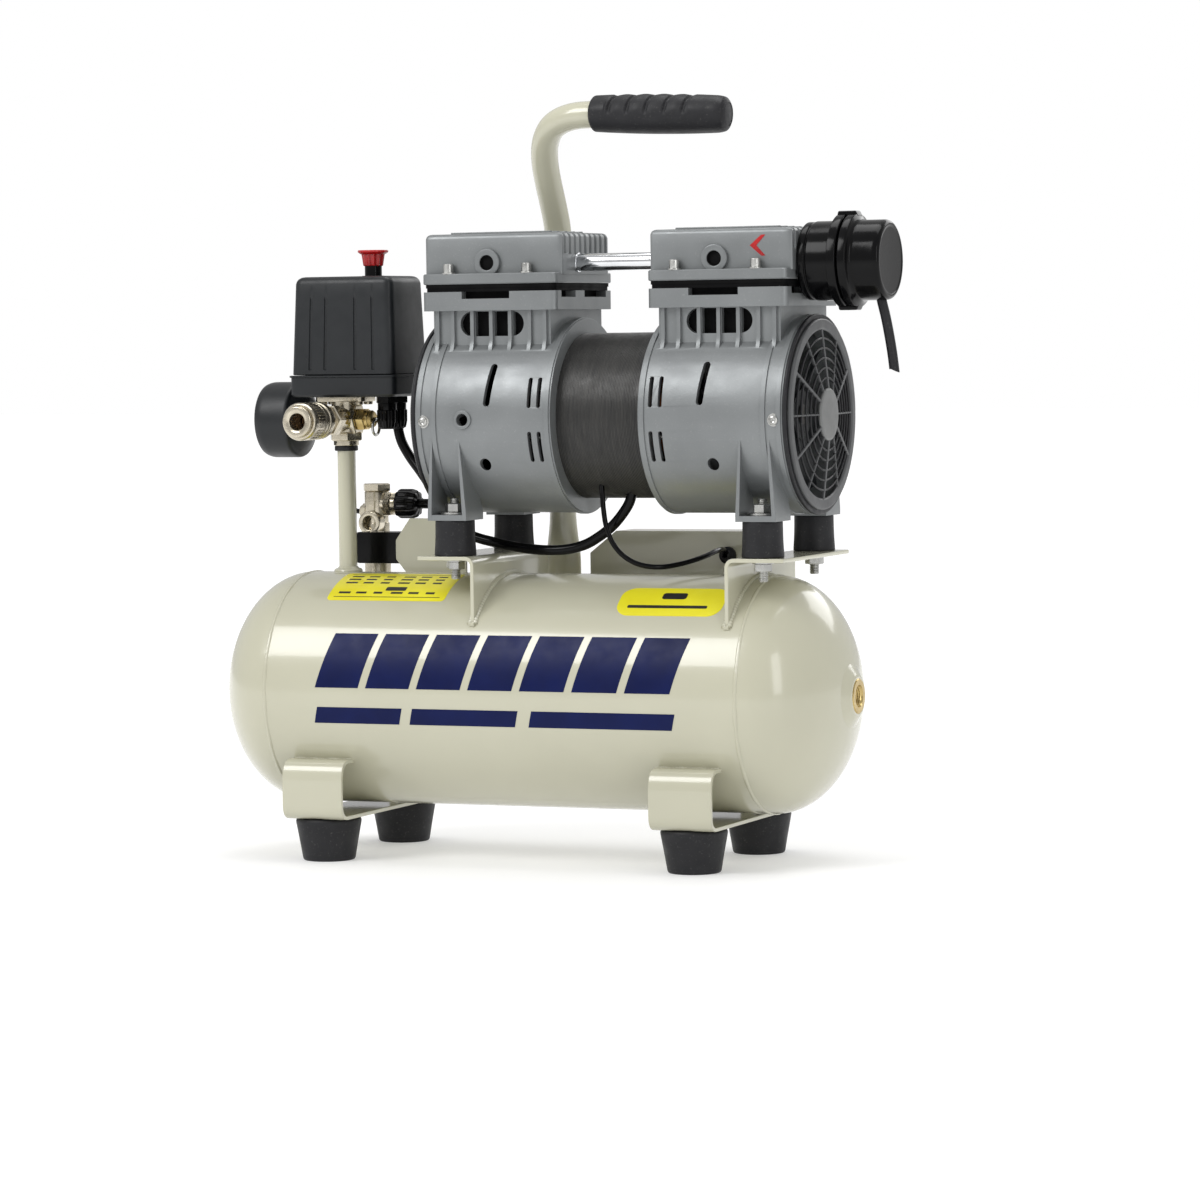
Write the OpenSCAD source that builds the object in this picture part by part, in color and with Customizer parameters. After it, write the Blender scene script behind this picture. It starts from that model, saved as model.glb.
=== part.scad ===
// Portable twin-cylinder oil-free air compressor.
// Millimetres, +Z up, +X towards the intake filter, +Y away from the gauge and coupling side.
// The modules are drawn about the tank's middle on the floor, then moved by in_frame() so
// that the origin is under the middle of the whole machine.

/* [Tank] */
// Outer radius of the tank
tank_r = 73; // [71:0.5:74]
// Height of the tank's axis above the floor
tank_z = 104; // [104:0.5:106]
// Length of the straight barrel
barrel_l = 314; // [300:1:330]
// Depth of each domed end
dome_depth = 50; // [40:1:55]
// Thickness of the tank's steel
tank_wall = 2; // [1.5:0.1:3]

/* [Feet] */
// Distance between the left and right feet
foot_gap_x = 245.6; // [240:0.2:250]
// Distance between the front and rear feet
foot_gap_y = 109.4; // [106:0.2:112]
// Height of a rubber foot
foot_h = 26.5; // [24:0.5:28]
// Radius of a foot at its top
foot_top_r = 20.6; // [18:0.2:21]
// Radius of a foot on the floor
foot_low_r = 16.2; // [14:0.2:18]

/* [Pump] */
// Middle of the pump along the tank
pump_x = 64; // [62:0.5:66]
// Height of the motor shaft
pump_z = 275; // [275:0.5:276]
// Outer radius of the cast housings
housing_r = 60; // [59:0.5:60.5]
// Outer radius of the laminated stator
stator_r = 51; // [50:0.5:51.5]
// Distance between the rubber mounts along the pump
mount_gap_x = 203; // [200:1:206]
// Distance between the rubber mounts across the pump
mount_gap_y = 89; // [87:1:91]

/* [Cylinders] */
// Distance between the two cylinders
cylinder_gap = 150; // [148:0.5:152]
// Radius of the cylinder bore
bore_r = 24; // [22:0.5:24.5]
// Crank throw, half the piston's stroke
crank_throw = 6; // [4:0.5:6]

/* [Controls] */
// Middle of the standpipe that carries the switch and the fittings
control_x = -133; // [-135:0.5:-132]
// Radius of the pressure gauge
gauge_r = 24; // [20:0.5:25]
// Radius of the coupling's mouth
coupler_r = 5.25; // [5:0.05:5.5]

/* [Hidden] */
$fn = 64;

// Colours
cream = [0.85, 0.84, 0.77];
cast_silver = [0.66, 0.68, 0.7];
steel = [0.75, 0.75, 0.77];
nickel = [0.72, 0.71, 0.66];
brass = [0.8, 0.66, 0.3];
charcoal = [0.23, 0.24, 0.25];
rubber_black = [0.13, 0.13, 0.14];
gloss_black = [0.08, 0.08, 0.09];
copper = [0.72, 0.4, 0.2];

// Where the frame's origin lies, measured from the tank's middle
frame_x = 17;
frame_y = 3;

// Tank
barrel_half = barrel_l / 2;
tank_top = tank_z + tank_r;
port_bush_r = 11;
port_bore_r = 5.9;
end_port_x = barrel_half + dome_depth;
drain_bore_r = 3;
drain_boss_r = 9;
drain_boss_z = 35;
drain_y = 38;

// Feet
foot_x = foot_gap_x / 2;
foot_y = foot_gap_y / 2;
strap_t = 2.5;
strap_half_w = 20.5;
strap_half_y = 78;
bolt_r = 3;
bolt_hole_r = 3.2;
hex_r = 5.8;
hex_h = 4;

// Motor brackets and rubber mounts
bracket_top = 190;
bracket_t = 2.5;
bracket_half_y = 58;
bracket_w = 38;
mount_x = mount_gap_x / 2;
mount_y = mount_gap_y / 2;
mount_h = 22;
foot_pad_z = bracket_top + mount_h;
pad_t = 3.5;

// Pump castings, measured outwards from the pump's middle
stator_half = 34;
housing_in_left = 30;
housing_in_right = 27.5;
housing_out = 120.5;
housing_wall = 3.5;
web_in = 50;
web_t = 4;
web_top_r = 52;
bearing_r = 13;
bearing_w = 10;
shaft_r = 6;
shroud_w = 2.5;
guard_w = 2;
tie_r = 2.2;
tie_at = 45.5;
tie_angles = [15, 105, 195, 285];
left_offset = cylinder_gap / 2 + 1.5;
right_offset = cylinder_gap / 2 - 1.5;
left_cyl_x = pump_x - left_offset;
right_cyl_x = pump_x + right_offset;

// Cylinders and heads
neck_half_x = 39.3;
neck_half_y = 40;
deck_z = 340.7;
deck_t = 11.7;
gasket_z = deck_z + deck_t;
gasket_t = 2.4;
valve_plate_t = 2.2;
head_z = gasket_z + gasket_t + valve_plate_t;
head_flange_t = 6.5;
head_top = 388;
plate_half_x = 45;
plate_half_y = 45;
head_half_x = 46;
head_front = -37;
head_rear = 37;
sleeve_wall = 3;
sleeve_low = 328.5;
piston_fit = 0.06;
running_fit = 0.05;
screw_x = [-28.5, 24];
screw_y = 41;
pipe_y = -12;
pipe_z = 369.5;
pipe_r = 5.4;
left_head_face = left_cyl_x + head_half_x;
right_head_face = right_cyl_x - head_half_x;

// Intake filter
filter_y = -8;
filter_z = 367.5;
filter_r = 24;
filter_flange_r = 28.2;
filter_start = right_cyl_x + head_half_x;
filter_joint = 210.5;
filter_end = 236;

// Handle
handle_r = 8.5;
handle_x = -16.5;
handle_y = 75;
grip_start = [25, 31.5, 462];
grip_l = 93;
grip_droop = 1.7;
grip_r = 12;

// Switch and fittings
switch_low = 288;
switch_split = 301.7;
switch_top = 363.5;
switch_front = -29.5;
switch_rear = 25;
knob_x = -112;
fitting_z = 273.5;
standpipe_r = 5.8;
standpipe_bore = 4;
standpipe_top = 257;
gauge_front = -187;
gauge_back = -164;
coupler_mouth = -70;
valve_end = -111.5;
gland_x = -101;
gland_y = [-7, 9];
gland_r = 6.5;
check_x = -137.2;
check_y = 52;
hose_z = 218;
hose_r = 3.2;
unloader_r = 1.6;
hose_port_x = -27;
hose_port_z = 372.2;

// Routes of the leads and tubes, from end to end
hose_route = [
    [-107.2, 52, 218], [-104, 52, 218], [-100.5, 52, 218], [-94, 53, 218.2], [-84, 56, 220],
    [-73, 61, 225.5], [-64, 66.5, 235], [-58, 70.5, 250], [-53, 74, 270], [-47, 77, 293],
    [-43, 79, 316], [-42, 79, 338], [-40.5, 77.5, 350], [-37, 73, 361], [-31.5, 66, 368.8],
    [-28, 59, 371.8], [-27, 54, 372.2], [-27, 51, 372.2], [-27, 48, 372.2]
];
unloader_route = [
    [-148.2, 52, 213], [-151.5, 52, 213.2], [-155.5, 51.7, 214.8], [-159, 50.9, 218],
    [-161.2, 49.6, 222.8], [-162, 47.6, 229], [-161.2, 44.4, 237], [-158.8, 39.8, 246],
    [-155.5, 34, 255], [-151.8, 27.8, 264], [-148.6, 22.2, 273], [-146.6, 18, 281], [-146, 16, 288]
];
motor_cable_route = [
    [-101, 9, 273], [-100.5, 9, 266], [-98, 9, 258], [-92, 8, 249], [-84, 6, 240],
    [-76, 4, 230], [-69, 1, 219], [-60, -2, 208.5], [-50, -4, 202.5], [-40, -5, 199],
    [-28, -7, 196.5], [-15, -9, 194.2], [-3, -10, 192.7], [10, -12, 192], [24, -13, 192.7],
    [36, -14, 195.5], [46, -15, 200.5], [55, -15, 207], [62, -15, 214.5], [67, -15, 222],
    [69, -15, 229]
];
capacitor_lead_route = [
    [54, -28, 233], [54.5, -28, 226], [55.5, -29, 218], [57.5, -30, 208], [61.5, -30, 198],
    [68, -29, 190], [77, -26, 184.5], [88, -20, 182.5], [98, -8, 184], [105, 8, 187],
    [108, 24, 190], [107, 38, 190.5], [105, 49, 188.5], [104, 55, 186]
];
snorkel_route = [
    [229, -8, 347], [230, -8, 342], [232, -8, 334], [234, -8, 324], [236, -8, 312],
    [237.5, -8, 300]
];
handle_route = [
    [-16.5, 75, 120], [-16.5, 75, 180], [-16.5, 75, 240], [-16.5, 75, 300],
    [-16.5, 75, 350], [-16.5, 75, 375], [-16.5, 72.5, 393], [-16.5, 66, 408],
    [-16.2, 58, 422], [-15, 50.5, 435], [-11, 43, 446.5], [-3, 36.5, 455.5],
    [9, 32.8, 460.5], [25, 31.5, 462], [60, 31.5, 461], [90, 31.5, 460.1],
    [115, 31.5, 459.3]
];

// ---- Helpers ----

module in_frame() { translate([-frame_x, -frame_y, 0]) children(); }

// Rods and tubes along an axis, between two stations
module rod_x(x0, x1, r, y = 0, z = 0, sides = 64) {
    translate([x0, y, z]) rotate([0, 90, 0]) cylinder(h = x1 - x0, r = r, $fn = sides);
}
module rod_y(y0, y1, r, x = 0, z = 0, sides = 64) {
    translate([x, y0, z]) rotate([-90, 0, 0]) cylinder(h = y1 - y0, r = r, $fn = sides);
}
module rod_z(z0, z1, r, x = 0, y = 0, sides = 64) {
    translate([x, y, z0]) cylinder(h = z1 - z0, r = r, $fn = sides);
}
module ring_x(x0, x1, r_out, r_in, y = 0, z = 0) {
    difference() {
        rod_x(x0, x1, r_out, y, z);
        rod_x(x0 - 1, x1 + 1, r_in, y, z);
    }
}

module block(x0, x1, y0, y1, z0, z1) {
    translate([x0, y0, z0]) cube([x1 - x0, y1 - y0, z1 - z0]);
}

// Block with its four upright corners rounded
module round_block(x0, x1, y0, y1, z0, z1, r) {
    block(x0 + r, x1 - r, y0, y1, z0, z1);
    block(x0, x1, y0 + r, y1 - r, z0, z1);
    for (x = [x0 + r, x1 - r], y = [y0 + r, y1 - r]) rod_z(z0, z1, r, x, y);
}

// Solid whose outline in the YZ plane runs along X
module along_x(x0, x1, outline) {
    translate([x0, 0, 0]) rotate([90, 0, 90]) linear_extrude(x1 - x0) polygon(outline);
}

// The pump is drawn for its right half; side -1 gives the left half
module pump_side(side) {
    translate([pump_x, 0, 0]) mirror([side < 0 ? 1 : 0, 0, 0]) children();
}

module tank_solid(r) { rod_x(-barrel_half, barrel_half, r, 0, tank_z, 128); }

// Tube swept along a smooth curve through the points of a route
function unit(v) = v / norm(v);
function tangent(p, i) = unit(p[min(i + 1, len(p) - 1)] - p[max(i - 1, 0)]);
function blend(a, b, c, d, t) =
    0.5 * (2 * b + (c - a) * t + (2 * a - 5 * b + 4 * c - d) * t * t
           + (3 * b - a - 3 * c + d) * t * t * t);
function smooth(p, steps) = [
    for (i = [0 : len(p) - 2], j = [0 : steps - 1])
        blend(p[max(i - 1, 0)], p[i], p[i + 1], p[min(i + 2, len(p) - 1)], j / steps),
    p[len(p) - 1]
];
function carried_sides(p, s, i = 0) =
    i == len(p) ? []
    : let(t = tangent(p, i), n = unit(s - (s * t) * t)) concat([n], carried_sides(p, n, i + 1));

module swept_tube(route, r, sides, steps = 2) {
    p = smooth(route, steps);
    side = carried_sides(p, cross(tangent(p, 0), [0.2, 0.3, 0.1]));
    points = [
        for (i = [0 : len(p) - 1], k = [0 : sides - 1])
            p[i] + r * (cos(360 * k / sides) * side[i]
                        + sin(360 * k / sides) * cross(tangent(p, i), side[i]))
    ];
    walls = [
        for (i = [0 : len(p) - 2], k = [0 : sides - 1])
            [i * sides + k, (i + 1) * sides + k,
             (i + 1) * sides + (k + 1) % sides, i * sides + (k + 1) % sides]
    ];
    first_end = [for (k = [0 : sides - 1]) k];
    last_end = [for (k = [sides - 1 : -1 : 0]) (len(p) - 1) * sides + k];
    polyhedron(points, concat([first_end, last_end], walls), convexity = 10);
}

// ---- Tank ----

module tank_barrel() {
    in_frame() color(cream) difference() {
        union() {
            tank_solid(tank_r);
            rod_z(drain_boss_z, drain_boss_z + 17, drain_boss_r, 0, drain_y);
        }
        rod_x(-barrel_half - 1, barrel_half + 1, tank_r - tank_wall, 0, tank_z, 128);
        rod_z(0, tank_z, drain_bore_r + running_fit, 0, drain_y);
        rod_z(tank_z, tank_top + 5, standpipe_bore, control_x);
        rod_z(tank_z, tank_top, standpipe_bore, check_x, check_y);
    }
}

dome_steps = 16;
function dome_line(r, depth) =
    [for (i = [0 : dome_steps]) [r * cos(90 * i / dome_steps), depth * sin(90 * i / dome_steps)]];

module dome() {
    outer = dome_line(tank_r, dome_depth);
    inner = dome_line(tank_r - tank_wall, dome_depth - tank_wall);
    reversed_inner = [for (i = [len(inner) - 1 : -1 : 0]) inner[i]];
    rotate([0, 90, 0]) rotate_extrude($fn = 128) polygon(concat(outer, reversed_inner));
}

module tank_ends() {
    in_frame() color(cream) difference() {
        union() {
            translate([barrel_half, 0, tank_z]) dome();
            translate([-barrel_half, 0, tank_z]) mirror([1, 0, 0]) dome();
        }
        rod_x(barrel_half, end_port_x + 5, port_bush_r, 0, tank_z);
    }
}

module end_port_bush() {
    in_frame() color(brass)
        ring_x(end_port_x - 9, end_port_x + 3, port_bush_r, port_bore_r, 0, tank_z);
}

module drain_screw() {
    in_frame() color(brass) {
        rod_z(drain_boss_z - 3, drain_boss_z + 13, drain_bore_r, 0, drain_y);
        rod_z(drain_boss_z - 6.5, drain_boss_z - 1, 7.5, 0, drain_y, 6);
    }
}

module foot_strap(x) {
    wall = strap_half_y - strap_t;
    low = foot_h;
    high = 58;
    along_x(x - strap_half_w, x + strap_half_w, [
        [-strap_half_y, low + 4], [-strap_half_y + 4, low], [strap_half_y - 4, low],
        [strap_half_y, low + 4], [strap_half_y, high], [strap_half_y - 4, high + 6],
        [60, high + 5], [60, high + 2.5], [wall - 3, high + 3.5], [wall, high - 1],
        [wall, low + 5], [wall - 3, low + strap_t], [-wall + 3, low + strap_t],
        [-wall, low + 5], [-wall, high - 1], [-wall + 3, high + 3.5], [-60, high + 2.5],
        [-60, high + 5], [-strap_half_y + 4, high + 6], [-strap_half_y, high]
    ]);
}

module foot_straps() {
    in_frame() color(cream) difference() {
        for (x = [-foot_x, foot_x]) foot_strap(x);
        tank_solid(tank_r);
        for (x = [-foot_x, foot_x], y = [-foot_y, foot_y])
            rod_z(foot_h - 1, foot_h + strap_t + 1, bolt_hole_r, x, y);
    }
}

module rubber_feet() {
    in_frame() color(rubber_black)
        for (x = [-foot_x, foot_x], y = [-foot_y, foot_y]) translate([x, y, 0]) difference() {
            cylinder(h = foot_h, r1 = foot_low_r, r2 = foot_top_r);
            rod_z(-1, 14, 8);
            rod_z(-1, foot_h + 1, bolt_hole_r);
        }
}

// Bolts of the feet, and the studs, nuts and bolts of the rubber mounts
module m6_fasteners() {
    in_frame() color(steel) {
        for (x = [-foot_x, foot_x], y = [-foot_y, foot_y]) {
            rod_z(14 - hex_h, 14, hex_r, x, y, 6);
            rod_z(14, 36, bolt_r, x, y);
            difference() {
                rod_z(foot_h + strap_t, foot_h + strap_t + 5, hex_r, x, y, 6);
                rod_z(foot_h, foot_h + 9, bolt_r, x, y);
            }
        }
        for (x = [pump_x - mount_x, pump_x + mount_x], y = [-mount_y, mount_y]) {
            rod_z(bracket_top - bracket_t - 12, bracket_top + 6, bolt_r, x, y);
            difference() {
                rod_z(bracket_top - bracket_t - 5, bracket_top - bracket_t, hex_r, x, y, 6);
                rod_z(bracket_top - 20, bracket_top, bolt_r, x, y);
            }
            rod_z(foot_pad_z - 8, foot_pad_z + pad_t, bolt_r, x, y);
            rod_z(foot_pad_z + pad_t, foot_pad_z + pad_t + 1.2, 7.5, x, y);
            rod_z(foot_pad_z + pad_t + 1.2, foot_pad_z + pad_t + 6, hex_r, x, y, 6);
        }
    }
}

// ---- Motor brackets and rubber mounts ----

module motor_bracket(leg_x0, plate_x0) {
    difference() {
        union() {
            block(plate_x0, plate_x0 + bracket_w, -bracket_half_y, bracket_half_y,
                  bracket_top - bracket_t, bracket_top);
            block(leg_x0, leg_x0 + bracket_t, -bracket_half_y, bracket_half_y,
                  140, bracket_top);
        }
        tank_solid(tank_r);
        for (x = [pump_x - mount_x, pump_x + mount_x], y = [-mount_y, mount_y])
            rod_z(bracket_top - 5, bracket_top + 1, bolt_hole_r, x, y);
    }
}

module motor_brackets() {
    in_frame() color(cream) {
        motor_bracket(pump_x - mount_x + 15.5, pump_x - mount_x - 20);
        motor_bracket(pump_x + mount_x - 20, pump_x + mount_x - 20);
    }
}

module vibration_mounts() {
    in_frame() color(rubber_black)
        for (x = [pump_x - mount_x, pump_x + mount_x], y = [-mount_y, mount_y]) difference() {
            translate([x, y, bracket_top]) cylinder(h = mount_h, r1 = 13, r2 = 12);
            rod_z(bracket_top - 1, bracket_top + 6, bolt_r, x, y);
            rod_z(foot_pad_z - 8, foot_pad_z + 1, bolt_r, x, y);
        }
}

// ---- Handle ----

module handle_tube() {
    in_frame() color(cream) difference() {
        union() {
            swept_tube(handle_route, handle_r, 16);
            block(handle_x - 12, handle_x + 12, 64, handle_y + 4, 108, 150);
        }
        tank_solid(tank_r);
    }
}

grip_steps = 24;
function grip_line() = [
    for (i = [0 : grip_steps])
        [grip_r - 1.8 * pow(abs(2 * i / grip_steps - 1), 3)
         - 0.5 * (1 - cos(360 * 6 * i / grip_steps)) / 2, grip_l * i / grip_steps]
];

module handle_grip() {
    in_frame() color(rubber_black)
        translate(grip_start) rotate([0, 90 + grip_droop, 0]) difference() {
            rotate_extrude() polygon(concat([[0, 0]], grip_line(), [[0, grip_l]]));
            translate([0, 0, -1]) cylinder(h = grip_l - 2, r = handle_r + 0.1);
        }
}

// ---- Rear boxes ----

box_x = [10, 125];
box_y = [56, 84];
box_z = [150, 201];
sheet = 1.5;

module capacitor_box() {
    in_frame() color(cream) difference() {
        rotate([90, 0, 0]) translate([0, 0, -box_y[1]]) linear_extrude(box_y[1] - box_y[0])
            polygon([[box_x[0], box_z[0]], [box_x[1], box_z[0]], [box_x[1], box_z[1]],
                     [box_x[0] + 18, box_z[1]], [box_x[0], box_z[1] - 14]]);
        block(box_x[0] + sheet, box_x[1] - sheet, box_y[0] + sheet, box_y[1] - sheet,
              box_z[0] + sheet, box_z[1] - 15);
        block(box_x[0] + 19, box_x[1] - sheet, box_y[0] + sheet, box_y[1] - sheet,
              box_z[1] - 16, box_z[1] - sheet);
        tank_solid(tank_r);
        rod_y(box_y[0] - 1, box_y[0] + 4, 4, 104, 186);
    }
}

module capacitor() {
    in_frame() color("silver") {
        rod_x(32, 92, 11.5, 70, 172);
        for (y = [66, 74]) rod_x(92, 98, 1.5, y, 172);
    }
}

module rear_bracket() {
    in_frame() color(cream) difference() {
        rotate([90, 0, 0]) translate([0, 0, -22.5]) linear_extrude(2.5)
            polygon([[-91, 150], [-60, 150], [-60, 203], [-66, 210], [-99, 210],
                     [-109, 196], [-109, 184], [-99, 172]]);
        tank_solid(tank_r);
    }
}

module overload_box() {
    in_frame() color(gloss_black) difference() {
        block(-138, -99, 22.5, 40, 181, 201);
        block(-136, -101, 24.5, 38, 183, 199);
    }
}

// ---- Standpipe and fittings ----

module standpipe() {
    in_frame() color(cream) difference() {
        union() {
            rod_z(tank_top - 1, standpipe_top, standpipe_r, control_x);
            translate([control_x, 0, tank_top - 0.5]) cylinder(h = 4, r1 = 9.5, r2 = standpipe_r);
        }
        tank_solid(tank_r);
        rod_z(tank_top - 5, standpipe_top + 1, standpipe_bore, control_x);
    }
}

module manifold() {
    in_frame() color(nickel) difference() {
        union() {
            rod_z(standpipe_top, standpipe_top + 3, 8, control_x);
            rod_z(standpipe_top + 3, standpipe_top + 8.5, 11, control_x, 0, 6);
            rod_z(standpipe_top + 8.5, switch_low, 9, control_x);
            rod_x(-148, -128, 7.5, 0, fitting_z);
            rod_x(-155, -148, 9.5, 0, fitting_z, 6);
            rod_x(-128, -123.5, 10.5, 0, fitting_z, 6);
            rod_y(-20, 0, 8, control_x, fitting_z);
        }
        rod_z(standpipe_top - 1, switch_low - 4, standpipe_bore, control_x);
    }
}

module switch_base() {
    in_frame() color(charcoal) difference() {
        round_block(-158, -85, switch_front, switch_rear, switch_low, switch_split, 5);
        block(-155.5, -87.5, switch_front + 2.5, switch_rear - 2.5,
              switch_low + 3, switch_split + 1);
    }
}

// The cover narrows slightly towards its top
module switch_cover() {
    cover_h = switch_top - switch_split;
    in_frame() color(charcoal) difference() {
        translate([-121.5, (switch_front + switch_rear) / 2, switch_split])
            linear_extrude(cover_h, scale = [0.945, 0.9], slices = 1) union() {
                square([62, 53.5], center = true);
                square([71, 44.5], center = true);
                for (x = [-31, 31], y = [-22.25, 22.25]) translate([x, y]) circle(r = 4.5, $fn = 24);
            }
        block(-153, -90, switch_front + 5.5, switch_rear - 5.5, switch_split - 1, switch_top - 2.5);
        rod_z(switch_top - 5, switch_top + 1, 5.8, knob_x);
    }
}

module switch_mechanism() {
    in_frame() color("lightgray") {
        block(-151, -94, -12, 12, switch_low + 3, switch_low + 20);
        difference() {
            rod_z(switch_low + 20, switch_low + 50, 9, -136);
            rod_z(switch_low + 22, switch_low + 51, 4, -136);
        }
        rod_z(switch_low + 22, switch_low + 53, 3.5, -136);
        block(-122, -100, -9, 9, switch_low + 20, switch_low + 36);
    }
}

module switch_knob() {
    in_frame() color("crimson") {
        rod_z(334, 371, 5.4, knob_x);
        rod_z(370, 378, 7, knob_x);
        rod_z(378, 380, 9.7, knob_x);
    }
}

module cable_glands() {
    in_frame() color(gloss_black) for (y = gland_y) difference() {
        union() {
            rod_z(switch_low - 4, switch_low, gland_r + 1, gland_x, y, 6);
            rod_z(switch_low - 20, switch_low - 4, gland_r, gland_x, y);
        }
        rod_z(switch_low - 21, switch_low - 14, 4, gland_x, y);
    }
}

// ---- Gauge, facing -X ----

module gauge_case() {
    in_frame() color(gloss_black) difference() {
        union() {
            rod_x(gauge_front, gauge_back, gauge_r, 0, fitting_z);
            translate([gauge_back, 0, fitting_z]) rotate([0, 90, 0])
                cylinder(h = 7, r1 = gauge_r - 1.5, r2 = 12);
            rod_x(gauge_back + 6, -155, 6, 0, fitting_z);
        }
        rod_x(gauge_front - 1, gauge_front + 8, gauge_r - 2, 0, fitting_z);
    }
}

module gauge_dial() {
    in_frame() color("white") difference() {
        rod_x(gauge_front + 7, gauge_front + 8, gauge_r - 2, 0, fitting_z);
        rod_x(gauge_front, gauge_front + 9, 1.05, 0, fitting_z);
    }
}

module gauge_needle() {
    in_frame() color("black") {
        rod_x(gauge_front + 4, gauge_front + 7.9, 1, 0, fitting_z);
        rod_x(gauge_front + 4, gauge_front + 5.5, 2.5, 0, fitting_z);
        translate([gauge_front + 4.2, 0, fitting_z]) rotate([-135, 0, 0])
            translate([0, -0.6, -5]) cube([0.8, 1.2, 21]);
    }
}

module gauge_lens() {
    in_frame() color([0.8, 0.9, 0.95, 0.4])
        rod_x(gauge_front + 0.5, gauge_front + 2.5, gauge_r - 2, 0, fitting_z);
}

// ---- Quick coupling, facing -Y ----

module coupler_body() {
    in_frame() color(nickel) difference() {
        union() {
            rod_y(-28, -20, 10.5, control_x, fitting_z, 6);
            rod_y(-33, -28, 7.5, control_x, fitting_z);
            rod_y(coupler_mouth, -33, 8.6, control_x, fitting_z);
            rod_y(coupler_mouth, coupler_mouth + 3, 9.8, control_x, fitting_z);
        }
        rod_y(coupler_mouth - 1, coupler_mouth + 20, coupler_r, control_x, fitting_z);
        rod_y(coupler_mouth + 19, -19, 3.5, control_x, fitting_z);
    }
}

module coupler_sleeve() {
    in_frame() color(nickel) difference() {
        rod_y(coupler_mouth + 3.3, -38, 11.8, control_x, fitting_z);
        rod_y(coupler_mouth, -37, 8.6 + running_fit, control_x, fitting_z);
    }
}

// ---- Safety valve, facing +X ----

module safety_valve_body() {
    in_frame() color(brass) difference() {
        union() {
            rod_x(-123.5, -118, 7.5, 0, fitting_z, 6);
            rod_x(-118, valve_end - 1.5, 5.8, 0, fitting_z);
        }
        rod_x(-119, valve_end, 1.2 + running_fit, 0, fitting_z);
    }
}

module safety_valve_ring() {
    in_frame() color(steel) {
        rod_x(-118, valve_end + 0.2, 1.2, 0, fitting_z);
        translate([valve_end - 0.5, 0, fitting_z - 5]) rotate([90, 0, 90])
            rotate_extrude() translate([5, 0]) circle(r = 0.9, $fn = 24);
    }
}

// ---- Check valve and delivery hose ----

module check_valve() {
    in_frame() color(nickel) difference() {
        union() {
            rod_z(138, 181, 8.5, check_x, check_y);
            rod_z(181, 190, 10, check_x, check_y, 6);
            rod_z(190, 226, 8, check_x, check_y);
            rod_z(226, 231, 9.5, check_x, check_y, 6);
            rod_x(check_x, check_x + 15, 6.5, check_y, hose_z);
            rod_x(check_x - 11, check_x, 4, check_y, 213);
        }
        tank_solid(tank_r);
        rod_z(136, 222, standpipe_bore, check_x, check_y);
    }
}

module hose_nuts() {
    in_frame() color(gloss_black) {
        rod_x(check_x + 15, check_x + 30, 9.5, check_y, hose_z, 6);
        rod_y(head_rear, 48, 9.5, hose_port_x, hose_port_z, 6);
    }
}

module delivery_hose() { in_frame() color(rubber_black) swept_tube(hose_route, hose_r, 12); }

module unloader_tube() { in_frame() color(rubber_black) swept_tube(unloader_route, unloader_r, 8); }

module motor_cable() {
    in_frame() color(rubber_black) swept_tube(motor_cable_route, 3.2, 10);
}

module capacitor_lead() {
    in_frame() color(rubber_black) swept_tube(capacitor_lead_route, 1.6, 8);
}

// ---- Pump housings ----

// Slot with round ends cut through the front and rear walls, leaning by angle
module wall_slot(u, z, length, width, angle = 0) {
    translate([u, 0, z]) rotate([0, angle, 0]) {
        block(-width / 2, width / 2, -70, 70, -length / 2 + width / 2, length / 2 - width / 2);
        for (end = [-1, 1]) rod_y(-70, 70, width / 2, 0, end * (length - width) / 2, 24);
    }
}

// Vent under the deck: a wide slot with round ends and three bars left standing
module vent_cut(u) {
    half = 21.3;
    r = 7.6;
    z = 332.6;
    difference() {
        union() {
            block(u - half + r, u + half - r, -45, 45, z - r, z + r);
            for (end = [-1, 1]) rod_y(-45, 45, r, u + end * (half - r), z, 32);
        }
        for (bar = [-12.7, 0, 12.7]) block(u + bar - 1.5, u + bar + 1.5, -46, 46, 320, 345);
    }
}

module housing_foot(u, y_side) {
    mirror([0, y_side < 0 ? 1 : 0, 0]) {
        block(u - 13, u + 13, 31, 56.5, foot_pad_z, foot_pad_z + pad_t);
        for (side = [-1, 1]) hull() {
            block(u + side * 11.7 - 1.3, u + side * 11.7 + 1.3, 31, 56.5, foot_pad_z, foot_pad_z + 4);
            block(u + side * 9 - 0.6, u + side * 9 + 0.6, 45, 58.4, 262, 264);
        }
    }
}

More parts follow.
